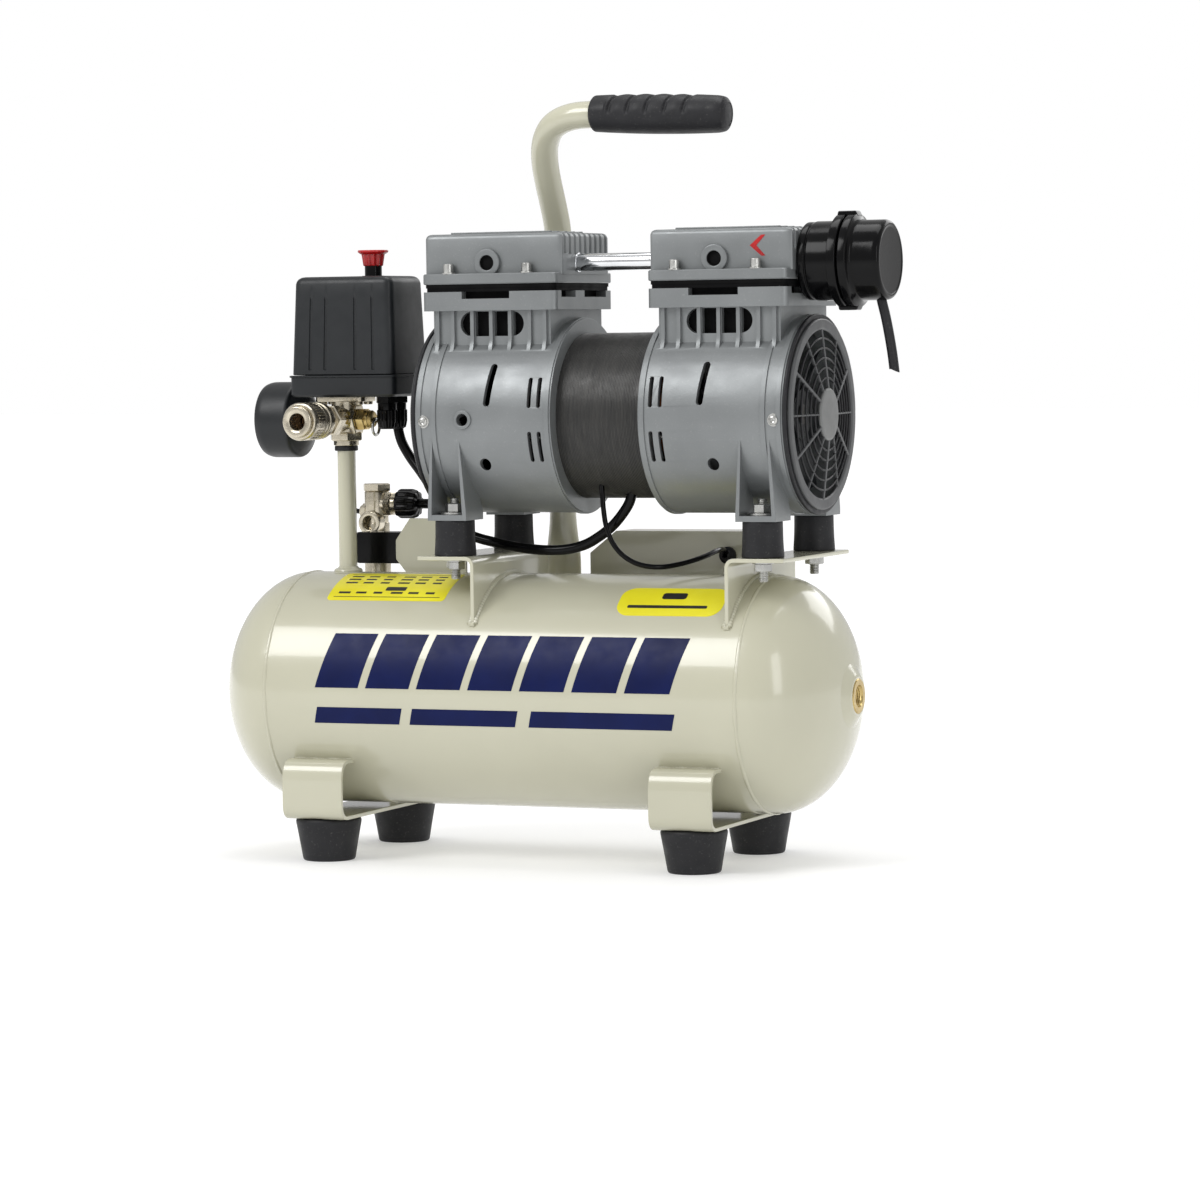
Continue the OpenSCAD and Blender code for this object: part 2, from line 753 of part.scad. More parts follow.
// Lean is which way the long slot leans
module end_housing(u_in, u_cyl, lean) {
    r_in = housing_r - housing_wall;
    difference() {
        union() {
            rod_x(u_in, housing_out, housing_r, 0, pump_z, 128);
            for (u = [u_in + 1, housing_out - 14, housing_out - 4])
                rod_x(u, u + 3, housing_r + 0.8, 0, pump_z, 128);
            block(u_cyl - neck_half_x, u_cyl + neck_half_x, -neck_half_y, neck_half_y,
                  pump_z + 10, deck_z);
            for (fin = [-36, -25.8, -12.7, 0, 12.7, 25.8, 36])
                along_x(u_cyl + fin - 1.2, u_cyl + fin + 1.2,
                        [[-44.5, 314], [-42, 323], [-42, deck_z], [42, deck_z], [42, 323],
                         [44.5, 314], [44.5, 300], [-44.5, 300]]);
            for (y_side = [-1, 1]) housing_foot(mount_x, y_side);
        }
        rod_x(u_in - 1, stator_half + 0.1, stator_r, 0, pump_z, 128);
        difference() {
            rod_x(stator_half, housing_out + 1, r_in, 0, pump_z, 128);
            rod_x(web_in, web_in + web_t, r_in + 1, 0, pump_z, 128);
            rod_x(web_in - 5, web_in + 9, bearing_r + 5, 0, pump_z);
        }
        rod_x(u_in, housing_out, bearing_r, 0, pump_z);
        for (a = [45 : 90 : 315])
            translate([0, 0, pump_z]) rotate([a, 0, 0])
                rod_x(web_in - 1, web_in + web_t + 1, 10, 36);
        for (a = tie_angles)
            translate([0, 0, pump_z]) rotate([a, 0, 0])
                rod_x(web_in - 1, web_in + web_t + 1, tie_r, tie_at, sides = 24);
        difference() {
            block(u_cyl - neck_half_x + 4, u_cyl + neck_half_x - 4, -neck_half_y + 4,
                  neck_half_y - 4, pump_z, deck_z + 1);
            rod_x(web_in - 10, web_in + web_t, web_top_r, 0, pump_z, 128);
        }
        vent_cut(u_cyl);
        for (u = [u_in + 8, u_in + 14.3], z = [15.2, -17.7]) wall_slot(u, pump_z + z, 18.5, 2.6);
        wall_slot(u_cyl - 5, pump_z + 20, 26, 4.4, 6 * lean);
        wall_slot(u_cyl, pump_z - 28.5, 7.4, 7.3);
        for (y = [-mount_y, mount_y])
            rod_z(foot_pad_z - 1, foot_pad_z + pad_t + 1, bolt_hole_r, mount_x, y);
    }
}

ring_hole_u = 88.5;
module housing_left() {
    in_frame() color(cast_silver) pump_side(-1) difference() {
        union() {
            end_housing(housing_in_left, left_offset, -1);
            for (side = [-1, 1]) mirror([0, side < 0 ? 1 : 0, 0])
                rod_y(housing_r - 4, housing_r + 0.6, 5.6, ring_hole_u, pump_z - 1);
        }
        rod_y(-housing_r - 1, housing_r + 1, 3.7, ring_hole_u, pump_z - 1);
    }
}

module housing_right() {
    in_frame() color(cast_silver) pump_side(1) end_housing(housing_in_right, right_offset, 1);
}

module stator() {
    in_frame() color([0.25, 0.24, 0.23]) translate([pump_x, 0, pump_z]) difference() {
        rod_x(-stator_half, stator_half, stator_r, sides = 128);
        rod_x(-stator_half - 1, stator_half + 1, 27.5);
        for (a = [0 : 30 : 330]) rotate([a, 0, 0])
            rod_x(-stator_half - 1, stator_half + 1, 3.4, 34, sides = 24);
        for (a = tie_angles) rotate([a, 0, 0])
            rod_x(-stator_half - 1, stator_half + 1, tie_r, tie_at, sides = 24);
        translate([0, 0, -60]) {
            rod_z(4, 16, 3.3, 5, -15);
            rod_z(4, 18, 1.7, -10, -28, 24);
        }
    }
}

module stator_winding() {
    in_frame() color(copper) translate([pump_x, 0, pump_z])
        for (side = [-1, 1]) mirror([side < 0 ? 1 : 0, 0, 0])
            ring_x(stator_half, stator_half + 10, 42, 29);
}

module tie_bolts() {
    in_frame() color(steel) translate([pump_x, 0, pump_z])
        for (a = tie_angles) rotate([a, 0, 0]) {
            rod_x(-web_in - web_t, web_in + web_t, tie_r, tie_at, sides = 24);
            for (side = [-1, 1]) mirror([side < 0 ? 1 : 0, 0, 0])
                rod_x(web_in + web_t, web_in + web_t + 4, 4.5, tie_at, sides = 6);
        }
}

module shaft_bearings() {
    in_frame() color(steel) translate([pump_x, 0, pump_z])
        for (side = [-1, 1]) mirror([side < 0 ? 1 : 0, 0, 0])
            ring_x(web_in - 4, web_in - 4 + bearing_w, bearing_r, shaft_r + running_fit);
}

// ---- Rotating group ----

module rotor_shaft() {
    in_frame() color(steel) rod_x(pump_x - 112, pump_x + 112, shaft_r, 0, pump_z);
}

module rotor_core() {
    in_frame() color([0.4, 0.4, 0.42]) translate([pump_x, 0, pump_z]) {
        ring_x(-stator_half, stator_half, 27, shaft_r);
        for (side = [-1, 1]) mirror([side < 0 ? 1 : 0, 0, 0])
            ring_x(stator_half, stator_half + 7, 24, 15);
    }
}

blades = 7;
module cooling_fan() {
    difference() {
        union() {
            rod_x(97, 111, 15);
            for (i = [0 : blades - 1]) rotate([360 * i / blades, 0, 0])
                translate([104, 0, 0]) rotate([0, 0, 32]) block(-0.9, 0.9, -9, 9, 13, 52);
        }
        rod_x(90, 120, shaft_r);
    }
}

module cooling_fans() {
    in_frame() color(rubber_black) {
        for (side = [-1, 1])
            translate([0, 0, pump_z]) pump_side(side) cooling_fan();
    }
}

// Eccentric with its crank bearing and balance weight; up is +1 or -1
eccentric_r = 12.1;
module eccentric(x, up, weight_x) {
    translate([x, 0, pump_z]) {
        difference() {
            rod_x(-5, 5, eccentric_r, 0, up * crank_throw);
            rod_x(-6, 6, shaft_r);
        }
        ring_x(-4, 4, 15, eccentric_r, 0, up * crank_throw);
        difference() {
            rod_x(weight_x, weight_x + 6, 26);
            rod_x(weight_x - 1, weight_x + 7, shaft_r);
            block(weight_x - 1, weight_x + 7, -30, 30, up > 0 ? -6 : -30, up > 0 ? 30 : 6);
        }
        ring_x(weight_x, weight_x + 6, 9.5, shaft_r);
    }
}

module eccentrics() {
    in_frame() color("gray") {
        eccentric(left_cyl_x, 1, 6);
        eccentric(right_cyl_x, -1, -12);
    }
}

// Wobble piston: ring around the crank bearing, rod, disc and cup seal in one piece.
// The ring is wide enough for the crank to turn freely at every height of the piston.
module piston(x, lift) {
    disc_low = 343 - crank_throw + lift;
    ring_z = pump_z + lift;
    in_frame() color("lightslategray") {
        difference() {
            union() {
                rod_x(x - 3, x + 3, 31, 0, ring_z);
                block(x - 3, x + 3, -8, 8, ring_z + 29, disc_low + 1);
            }
            rod_x(x - 4, x + 4, 27.6, 0, ring_z);
        }
        rod_z(disc_low, disc_low + 8, bore_r - piston_fit, x);
    }
}

module piston_left() { piston(left_cyl_x, crank_throw); }

module piston_right() { piston(right_cyl_x, -crank_throw); }

// ---- Cylinders and heads ----

module cylinder_casting(x) {
    difference() {
        union() {
            round_block(x - plate_half_x, x + plate_half_x, -plate_half_y, plate_half_y,
                        deck_z, gasket_z, 4);
            rod_z(sleeve_low, gasket_z, bore_r + sleeve_wall, x);
        }
        rod_z(sleeve_low - 1, gasket_z + 1, bore_r, x);
        block(x - 18, x + 14, -50, -38, gasket_z - 4.4, gasket_z + 1);
        block(x + 38, x + 50, -36, -14, gasket_z - 4, gasket_z + 1);
        block(x + 38, x + 50, 0, 34, gasket_z - 4, gasket_z + 1);
        for (u = screw_x, y = [-screw_y, screw_y]) rod_z(deck_z - 1, gasket_z + 1, 2.1, x + u, y);
    }
}

module cylinders() {
    in_frame() color(cast_silver) for (x = [left_cyl_x, right_cyl_x]) cylinder_casting(x);
}

module head_gaskets() {
    in_frame() color(rubber_black) for (x = [left_cyl_x, right_cyl_x]) difference() {
        round_block(x - 43.5, x + 43.5, -43.5, 43.5, gasket_z, gasket_z + gasket_t, 4);
        rod_z(gasket_z - 1, gasket_z + gasket_t + 1, bore_r, x);
        for (u = screw_x, y = [-screw_y, screw_y]) rod_z(gasket_z - 1, head_z, 2.1, x + u, y);
    }
}

// Valve plate of each head with its inlet and outlet reeds
module valve_plates() {
    plate_low = gasket_z + gasket_t;
    in_frame() color("dimgray") for (x = [left_cyl_x, right_cyl_x]) {
        difference() {
            round_block(x - 44, x + 44, -44, 44, plate_low, head_z, 4);
            for (u = [-12, 12]) rod_z(plate_low - 1, head_z + 1, 4, x + u);
            for (u = screw_x, y = [-screw_y, screw_y]) rod_z(plate_low - 1, head_z + 1, 2.1, x + u, y);
        }
        block(x + 7, x + 17, -18, 8, head_z, head_z + 0.4);
        block(x - 17, x - 7, -8, 18, plate_low - 0.4, plate_low);
    }
}

head_wall = 4.5;
front_port_shift = -3.5;
front_port_z = 370;
front_port_r = 4;
groove_w = 3.6;

// Cylinder head: flange, box with an inlet and an outlet chamber, front port, side grooves
module head(x) {
    flange_top = head_z + head_flange_t;
    difference() {
        union() {
            round_block(x - plate_half_x, x + plate_half_x, -plate_half_y, plate_half_y,
                        head_z, flange_top, 4);
            round_block(x - head_half_x, x + head_half_x, head_front, head_rear,
                        head_z, head_top, 5);
            rod_y(head_front - 2.5, head_front + 1, 8.5, x + front_port_shift, front_port_z);
        }
        difference() {
            block(x - head_half_x + head_wall, x + head_half_x - head_wall,
                  head_front + head_wall, head_rear - head_wall, head_z - 1,
                  head_top - head_wall);
            block(x + 3, x + 6, head_front, head_rear, head_z, head_top);
        }
        rod_y(head_front - 3, head_front + head_wall + 1, front_port_r,
              x + front_port_shift, front_port_z);
        for (u = screw_x, y = [-screw_y, screw_y])
            rod_z(head_z - 1, flange_top + 1, 2.1, x + u, y);
        for (y = [-32 : 8 : 32], side = [-1, 1])
            block(x + side * head_half_x - 1.2, x + side * head_half_x + 1.2,
                  y - groove_w / 2, y + groove_w / 2, head_top - 13, head_top + 1);
    }
}

module head_left() {
    in_frame() color(cast_silver) difference() {
        head(left_cyl_x);
        rod_x(left_head_face - 8, left_head_face + 2, pipe_r, pipe_y, pipe_z);
        rod_y(head_rear - 8, head_rear + 1, hose_r, hose_port_x, hose_port_z);
    }
}

module head_right() {
    in_frame() color(cast_silver) difference() {
        head(right_cyl_x);
        rod_x(right_head_face - 2, right_head_face + 8, pipe_r, pipe_y, pipe_z);
        rod_x(filter_start - 8, filter_start + 2, 9, filter_y, filter_z);
    }
}

module head_screws() {
    low = deck_z + 0.5;
    flange_top = head_z + head_flange_t;
    in_frame() color(steel)
        for (x = [left_cyl_x, right_cyl_x], u = screw_x, y = [-screw_y, screw_y]) difference() {
            union() {
                rod_z(low, flange_top, 2, x + u, y, 24);
                rod_z(flange_top, flange_top + 5, 3.4, x + u, y, 32);
            }
            rod_z(flange_top + 2.5, flange_top + 6, 1.6, x + u, y, 6);
        }
}

module crossover_pipe() {
    in_frame() color("gainsboro")
        ring_x(left_head_face - 4.6, right_head_face + 4.6, pipe_r, 4.2, pipe_y, pipe_z);
}

// ---- Intake filter ----

module filter_body() {
    in_frame() color(gloss_black) difference() {
        union() {
            rod_x(filter_start - 8, filter_start, 8.9, filter_y, filter_z);
            rod_x(filter_start, filter_joint - 7, filter_r, filter_y, filter_z);
            rod_x(filter_joint - 7, filter_joint - 0.8, filter_flange_r, filter_y, filter_z);
            rod_x(filter_joint - 0.8, filter_joint, filter_flange_r - 2, filter_y, filter_z);
        }
        rod_x(filter_start - 9, filter_joint + 1, 6, filter_y, filter_z);
        rod_x(filter_start + 4, filter_joint + 1, filter_r - 2.5, filter_y, filter_z);
    }
}

module filter_cap() {
    in_frame() color(gloss_black) difference() {
        union() {
            rod_x(filter_joint, filter_joint + 0.8, filter_flange_r - 2, filter_y, filter_z);
            rod_x(filter_joint + 0.8, filter_joint + 7.5, filter_flange_r, filter_y, filter_z);
            rod_x(filter_joint + 7.5, filter_end - 2, filter_r, filter_y, filter_z);
            rod_x(filter_end - 2, filter_end, filter_r - 1.2, filter_y, filter_z);
        }
        rod_x(filter_joint - 1, filter_end - 2.5, filter_r - 2.5, filter_y, filter_z);
        rod_z(filter_z - filter_r - 2, filter_z - filter_r + 5, 3.1, 229.4, filter_y);
    }
}

module intake_snorkel() {
    in_frame() color(rubber_black) swept_tube(snorkel_route, 3, 12);
}

// ---- Fan guards ----

module fan_shrouds() {
    in_frame() color(rubber_black)
        for (side = [-1, 1]) pump_side(side)
            ring_x(housing_out, housing_out + shroud_w, housing_r + 1, 55, 0, pump_z);
}

guard_rings = [22, 28, 34, 40, 46];
guard_hub_r = 16;
guard_ring_in = 51;
guard_rise = 4;
bar_t = 1.6;
function guard_height(r) = 0.2 + guard_rise * (guard_ring_in - r) / (guard_ring_in - guard_hub_r);

module guard_spoke(half_w) {
    r_in = guard_hub_r - 1;
    r_out = guard_ring_in + 1;
    rotate([90, 0, 0]) translate([0, 0, -half_w]) linear_extrude(2 * half_w)
        polygon([[r_in, guard_height(r_in)], [r_out, guard_height(r_out)],
                 [r_out, guard_height(r_out) + bar_t], [r_in, guard_height(r_in) + bar_t]]);
}

// Cone of hoops and spokes from the outer ring up to the hub
module fan_guard() {
    translate([housing_out + shroud_w, 0, pump_z]) rotate([0, 90, 0]) {
        linear_extrude(guard_w) difference() {
            circle(r = housing_r - 2, $fn = 128);
            circle(r = guard_ring_in, $fn = 128);
        }
        for (r = guard_rings) translate([0, 0, guard_height(r) + 0.3])
            linear_extrude(bar_t - 0.6) difference() {
                circle(r = r + 0.6);
                circle(r = r - 0.6);
            }
        for (i = [0 : 11]) rotate(30 * i) guard_spoke(i % 2 == 0 ? 1 : 0.6);
        translate([0, 0, guard_height(guard_hub_r) - 0.3]) cylinder(h = bar_t + 0.6, r = guard_hub_r);
    }
}

module fan_guards() {
    in_frame() color("gray") for (side = [-1, 1]) pump_side(side) fan_guard();
}

tank_barrel();
tank_ends();
end_port_bush();
drain_screw();
foot_straps();
rubber_feet();
m6_fasteners();
motor_brackets();
vibration_mounts();
handle_tube();
handle_grip();
capacitor_box();
capacitor();
standpipe();
manifold();
switch_base();
switch_cover();
switch_mechanism();
cable_glands();
switch_knob();
gauge_case();
gauge_dial();
gauge_needle();
gauge_lens();
coupler_body();
coupler_sleeve();
safety_valve_body();
safety_valve_ring();
check_valve();
hose_nuts();
rear_bracket();
overload_box();
delivery_hose();
unloader_tube();
motor_cable();
capacitor_lead();
housing_left();
housing_right();
stator();
stator_winding();
tie_bolts();
shaft_bearings();
cylinders();
head_gaskets();
valve_plates();
head_left();
head_right();
head_screws();
crossover_pipe();
filter_body();
filter_cap();
intake_snorkel();
fan_shrouds();
fan_guards();
rotor_shaft();
rotor_core();
cooling_fans();
eccentrics();
piston_left();
piston_right();
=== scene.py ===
"""Looks of the air compressor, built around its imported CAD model."""

import math

import bmesh
import bpy
from mathutils import Matrix, Vector


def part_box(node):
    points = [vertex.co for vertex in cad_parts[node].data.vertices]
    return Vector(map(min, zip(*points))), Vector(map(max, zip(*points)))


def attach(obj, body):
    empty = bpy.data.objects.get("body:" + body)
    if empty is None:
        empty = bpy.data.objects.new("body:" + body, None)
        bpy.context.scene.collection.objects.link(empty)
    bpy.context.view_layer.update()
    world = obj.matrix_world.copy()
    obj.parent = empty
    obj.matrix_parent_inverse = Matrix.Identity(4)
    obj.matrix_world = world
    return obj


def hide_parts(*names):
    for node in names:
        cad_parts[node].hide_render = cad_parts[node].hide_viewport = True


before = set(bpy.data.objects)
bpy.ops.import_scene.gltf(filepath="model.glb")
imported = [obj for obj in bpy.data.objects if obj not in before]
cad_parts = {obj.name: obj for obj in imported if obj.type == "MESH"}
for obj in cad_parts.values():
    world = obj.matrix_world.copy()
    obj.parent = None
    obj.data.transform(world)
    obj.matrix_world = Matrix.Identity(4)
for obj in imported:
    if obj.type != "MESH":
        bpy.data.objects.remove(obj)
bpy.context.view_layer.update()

TAU = 2 * math.pi
MM = 0.001
UP, RIGHT, LEFT, FRONT, REAR = (0, 0, 1), (1, 0, 0), (-1, 0, 0), (0, -1, 0), (0, 1, 0)
SHARP = math.radians(32)   # edges with a smaller angle than this are shaded smooth


# ---- Places: millimetres from the middle of the tank, on the floor ----

TANK = sum(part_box("tank_barrel"), Vector()) / 2
TANK.z = 0


class Box:
    """A CAD node's box in millimetres from the middle of the tank, on the floor."""

    def __init__(self, node):
        low, high = [(end - TANK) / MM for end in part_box(node)]
        self.x0, self.y0, self.z0 = low
        self.x1, self.y1, self.z1 = high
        self.middle = (low + high) / 2
        self.half_x, self.half_y, self.half_z = (high - low) / 2


# ---- Shapes: a shape is a list of points and a list of faces ----

def whole(shape):
    """One shape from a shape or a list of them."""
    if isinstance(shape, tuple):
        return shape
    points, faces = [], []
    for part in shape:
        more_points, more_faces = whole(part)
        first = len(points)
        points += more_points
        faces += [[first + i for i in face] for face in more_faces]
    return points, faces


def placed(shape, at=(0, 0, 0), towards=UP, turn=0):
    """Turns a shape's own Z axis to point towards a direction and moves its origin to a point."""
    points, faces = whole(shape)
    swing = Vector(UP).rotation_difference(Vector(towards)).to_matrix()
    spin = Matrix.Rotation(math.radians(turn), 3, "Z")
    at = Vector(at)
    return [swing @ (spin @ Vector(p)) + at for p in points], faces


def spread(shape, places, z=0, turn=0, step=0):
    """Copies of a shape on (x, y) places, each turned a step more than the one before."""
    return [placed(shape, (x, y, z), turn=turn + step * i) for i, (x, y) in enumerate(places)]


def softened(corners, cut, loop=False, steps=4):
    """Rounds a line's corners. Cut is how far from the corner the rounding starts."""
    corners = [Vector(c) for c in corners]
    cuts = cut if isinstance(cut, (list, tuple)) else [cut] * len(corners)
    line = []
    for i, corner in enumerate(corners):
        if cuts[i] == 0 or (not loop and i in (0, len(corners) - 1)):
            line.append(corner)
            continue
        before = corners[i - 1] - corner
        after = corners[(i + 1) % len(corners)] - corner
        a = corner + before.normalized() * min(cuts[i], 0.48 * before.length)
        b = corner + after.normalized() * min(cuts[i], 0.48 * after.length)
        for k in range(steps + 1):
            t = k / steps
            line.append(a * (1 - t) ** 2 + corner * 2 * t * (1 - t) + b * t * t)
    return line


def skin(rings, loop=False, capped=True):
    """Joins rings of points with the same count. Ends are closed unless the rings loop."""
    count = len(rings[0])
    points = [Vector(p) for ring in rings for p in ring]
    faces = []
    for j in range(len(rings) if loop else len(rings) - 1):
        a, b = j * count, (j + 1) % len(rings) * count
        for k in range(count):
            n = (k + 1) % count
            faces.append([a + k, a + n, b + n, b + k])
    if capped and not loop:
        faces.append(list(range(count)))
        faces.append([(len(rings) - 1) * count + k for k in range(count)])
    return points, faces


AXIS_R = 0.02   # how near to its axis a turned surface closes
CORE_R = 2      # nothing is fluted nearer to the axis than this


def lathe(line, sides=64, loop=False, lobes=0, depth=0):
    """Turns a line of (radius, height) about Z. Lobes flute it by depth."""
    rings = []
    for radius, height in line:
        ring = []
        for k in range(sides):
            a = TAU * k / sides
            flute = depth * (0.5 - 0.5 * math.cos(lobes * a)) if radius > CORE_R else 0
            r = max(radius, AXIS_R) - flute
            ring.append((r * math.cos(a), r * math.sin(a), height))
        rings.append(ring)
    return skin(rings, loop)


def turned(corners, cut, sides=64, loop=False, **flutes):
    """Turns a line with rounded corners about Z."""
    return lathe(softened(corners, cut, loop), sides, loop, **flutes)


def rod(radius, low, high, edge=0.5, sides=48):
    return turned([(0, low), (radius, low), (radius, high), (0, high)], edge, sides)


def pipe(outer, inner, low, high, edge=0.4, sides=64):
    return turned([(outer, low), (outer, high), (inner, high), (inner, low)], edge, sides, loop=True)


def hexagon(radius, low, high, chamfer=0.6):
    line = [(0, low), (radius - chamfer, low), (radius, low + 0.6 * chamfer),
            (radius, high - 0.6 * chamfer), (radius - chamfer, high), (0, high)]
    return lathe(line, 6)


def hex_ring(radius, inner, low, high, chamfer=0.6):
    """A nut: six flats outside and a round hole of many sides inside."""
    rings = []
    sides = 48
    for r, z in ((inner, low), (radius - chamfer, low), (radius, low + 0.6 * chamfer),
                 (radius, high - 0.6 * chamfer), (radius - chamfer, high), (inner, high)):
        ring = []
        for k in range(sides):
            a = TAU * k / sides
            off_flat = (a + TAU / 12) % (TAU / 6) - TAU / 12
            reach = r * math.cos(TAU / 12) / math.cos(TAU / 12 - abs(off_flat)) if r > inner else r
            ring.append((reach * math.cos(a), reach * math.sin(a), z))
        rings.append(ring)
    return skin(rings, loop=True)


def threaded(radius, low, high, pitch=1, depth=0.45, sides=32):
    """A stud with a ridged thread and chamfered ends."""
    line = [(0, low), (radius - depth, low)]
    z = low + 0.3
    while z + pitch < high:
        line += [(radius - depth, z), (radius, z + 0.35 * pitch), (radius, z + 0.65 * pitch)]
        z += pitch
    line += [(radius - depth, high), (0, high)]
    return lathe(line, sides)


def prism(outline, low, high, axis):
    """Extrudes an outline along x, y or z. Its two numbers are the other axes, in order."""
    order = {"x": lambda u, v, w: (w, u, v), "y": lambda u, v, w: (u, w, v),
             "z": lambda u, v, w: (u, v, w)}[axis]
    return skin([[order(p[0], p[1], w) for p in outline] for w in (low, high)])


def rectangle(x0, x1, y0, y1, corner=0, steps=4):
    corners = [(x0, y0), (x1, y0), (x1, y1), (x0, y1)]
    return softened(corners, corner, loop=True, steps=steps) if corner else corners


def torus(radius, tube, around=64, sides=16, flat=1):
    ring = [(radius + tube * math.cos(TAU * k / sides), flat * tube * math.sin(TAU * k / sides))
            for k in range(sides)]
    return lathe(ring, around, loop=True)


def smooth_line(route, steps):
    """Points along a smooth curve through a route."""
    route = [Vector(p) for p in route]
    line = []
    last = len(route) - 1
    for i in range(last):
        a, b, c, d = route[max(i - 1, 0)], route[i], route[i + 1], route[min(i + 2, last)]
        for k in range(steps):
            t = k / steps
            line.append(0.5 * (2 * b + (c - a) * t + (2 * a - 5 * b + 4 * c - d) * t * t
                               + (3 * b - a - 3 * c + d) * t ** 3))
    return line + [route[-1]]


def frames(line, side):
    """A line's points, each with its direction and two sides that follow the line without twisting."""
    side = Vector(side)
    last = len(line) - 1
    found = []
    for i, p in enumerate(line):
        along = (line[min(i + 1, last)] - line[max(i - 1, 0)]).normalized()
        side = (side - side.dot(along) * along).normalized()
        found.append((p, along, side, along.cross(side)))
    return found


def hoop(middle, side, up, a, b, count):
    """A closed ring of points about a middle. A and b are its half widths along side and up."""
    turns = [TAU * k / count for k in range(count)]
    return [middle + side * a * math.cos(turn) + up * b * math.sin(turn) for turn in turns]


def sweep(route, radius, sides=20, steps=6, side=(0.2, 0.3, 0.1), wide=None):
    """A round tube along a route. Wide(point) may give another pair of half widths."""
    line = frames(smooth_line(route, steps), side)
    rings = [hoop(p, across, up, *(wide(p) if wide else (radius, radius)), sides)
             for p, along, across, up in line]
    soft = 0.15 * radius
    caps = [[p + (q - p) * 0.85 + along * way * soft for q in ring]
            for ring, (p, along, *_), way in ((rings[0], line[0], -1), (rings[-1], line[-1], 1))]
    return skin([caps[0], *rings, caps[1]])


def bead(route, radius=1.3, ripple=0.12, step=0.7):
    """A weld bead: a tube with fine ripples along a line."""
    line = [Vector(route[0])]
    for a, b in zip(route, route[1:]):
        a, b = Vector(a), Vector(b)
        count = max(1, round((b - a).length / step))
        line += [a + (b - a) * k / count for k in range(1, count + 1)]
    rings = []
    fine, coarse = 2.1, 0.37
    for i, (p, _, across, up) in enumerate(frames(line, (0.31, 0.17, 0.93))):
        r = radius * (1 + ripple * math.sin(fine * i) + 0.08 * math.sin(coarse * i))
        rings.append(hoop(p, across, up, r, r, 10))
    return skin(rings)


def sheet_line(middle, thickness):
    """The closed outline of a bent sheet from the line along its middle."""
    middle = [Vector(p) for p in middle]
    last = len(middle) - 1
    left, right = [], []
    for i, p in enumerate(middle):
        t = (middle[min(i + 1, last)] - middle[max(i - 1, 0)]).normalized()
        n = Vector((-t.y, t.x)) * thickness / 2
        left.append(p + n)
        right.append(p - n)
    return left + right[::-1]


# ---- Materials ----

def linear(colour):
    """Linear colour from display values between 0 and 255."""
    return [((c / 255 + 0.055) / 1.055) ** 2.4 if c > 10 else c / 3294.6 for c in colour] + [1]


class Nodes:
    """A few short cuts for building a material's nodes."""

    def __init__(self, name):
        self.material = bpy.data.materials.new(name)
        self.material.use_nodes = True
        self.tree = self.material.node_tree
        self.shader = self.tree.nodes["Principled BSDF"]
        self.place = self.tree.nodes.new("ShaderNodeTexCoord").outputs["Object"]

    def put(self, socket, value):
        if isinstance(value, bpy.types.NodeSocket):
            self.tree.links.new(value, socket)
        else:
            socket.default_value = value

    def fill(self, node, inputs):
        for name, value in inputs.items():
            self.put(node.inputs[name.replace("_", " ")], value)
        return node

    def add(self, kind, **inputs):
        return self.fill(self.tree.nodes.new(kind), inputs)

    def look(self, **inputs):
        self.fill(self.shader, inputs)

    def noise(self, scale, detail=3, stretch=None):
        place = self.place
        if stretch:
            place = self.add("ShaderNodeMapping", Vector=place, Scale=stretch).outputs[0]
        return self.add("ShaderNodeTexNoise", Vector=place, Scale=scale, Detail=detail).outputs[0]

    def ranged(self, value, low, high, start=0.3, end=0.7):
        return self.add("ShaderNodeMapRange", Value=value, From_Min=start, From_Max=end, To_Min=low,
                        To_Max=high).outputs[0]

    def mixed(self, share, a, b):
        node = self.tree.nodes.new("ShaderNodeMix")
        node.data_type = "RGBA"
        self.put(node.inputs[0], share)
        self.put(node.inputs[6], a)
        self.put(node.inputs[7], b)
        return node.outputs[2]

    def bumped(self, height, strength, distance, normal=None):
        under = {"Normal": normal} if normal else {}
        return self.add("ShaderNodeBump", Height=height, Strength=strength, Distance=distance,
                        **under).outputs[0]


WAVE_DEPTH, GRAIN_DEPTH = 0.4 * MM, 0.1 * MM
FINISHES = {}   # each finish's material and the record's slot for it


def finish(name, colour, other, rough, *, metallic=0, tint_scale=25, grain_scale=900, grain=0.2,
           wave_scale=0, wave=0.0, coat=0, stretch=None, dust=0.0, specular=0.5, slot=None):
    """A surface whose colour drifts between two tones, with uneven gloss, fine grain and waviness."""
    n = Nodes(name)
    base = n.mixed(n.ranged(n.noise(tint_scale, 4), 0, 1), linear(colour), linear(other))
    if dust:
        specks = n.ranged(n.noise(grain_scale * 0.6, 2), 0, dust, 0.62, 0.8)
        base = n.mixed(specks, base, linear((205, 203, 196)))
    normal = n.bumped(n.noise(wave_scale, 1), wave, WAVE_DEPTH) if wave_scale else None
    n.look(Base_Color=base, Roughness=n.ranged(n.noise(tint_scale * 3.1, 5, stretch), *rough),
           Normal=n.bumped(n.noise(grain_scale, 3, stretch), grain, GRAIN_DEPTH, normal),
           Metallic=metallic, Coat_Weight=coat, Coat_Roughness=0.08, Specular_IOR_Level=specular)
    FINISHES[name] = n.material, slot or name


def clear_lens():
    n = Nodes("clear_lens")
    n.look(Roughness=n.ranged(n.noise(60, 3), 0.02, 0.07), Base_Color=(0.95, 0.97, 0.97, 1),
           Transmission_Weight=1, IOR=1.49)
    FINISHES["clear_lens"] = n.material, "clear_lens"


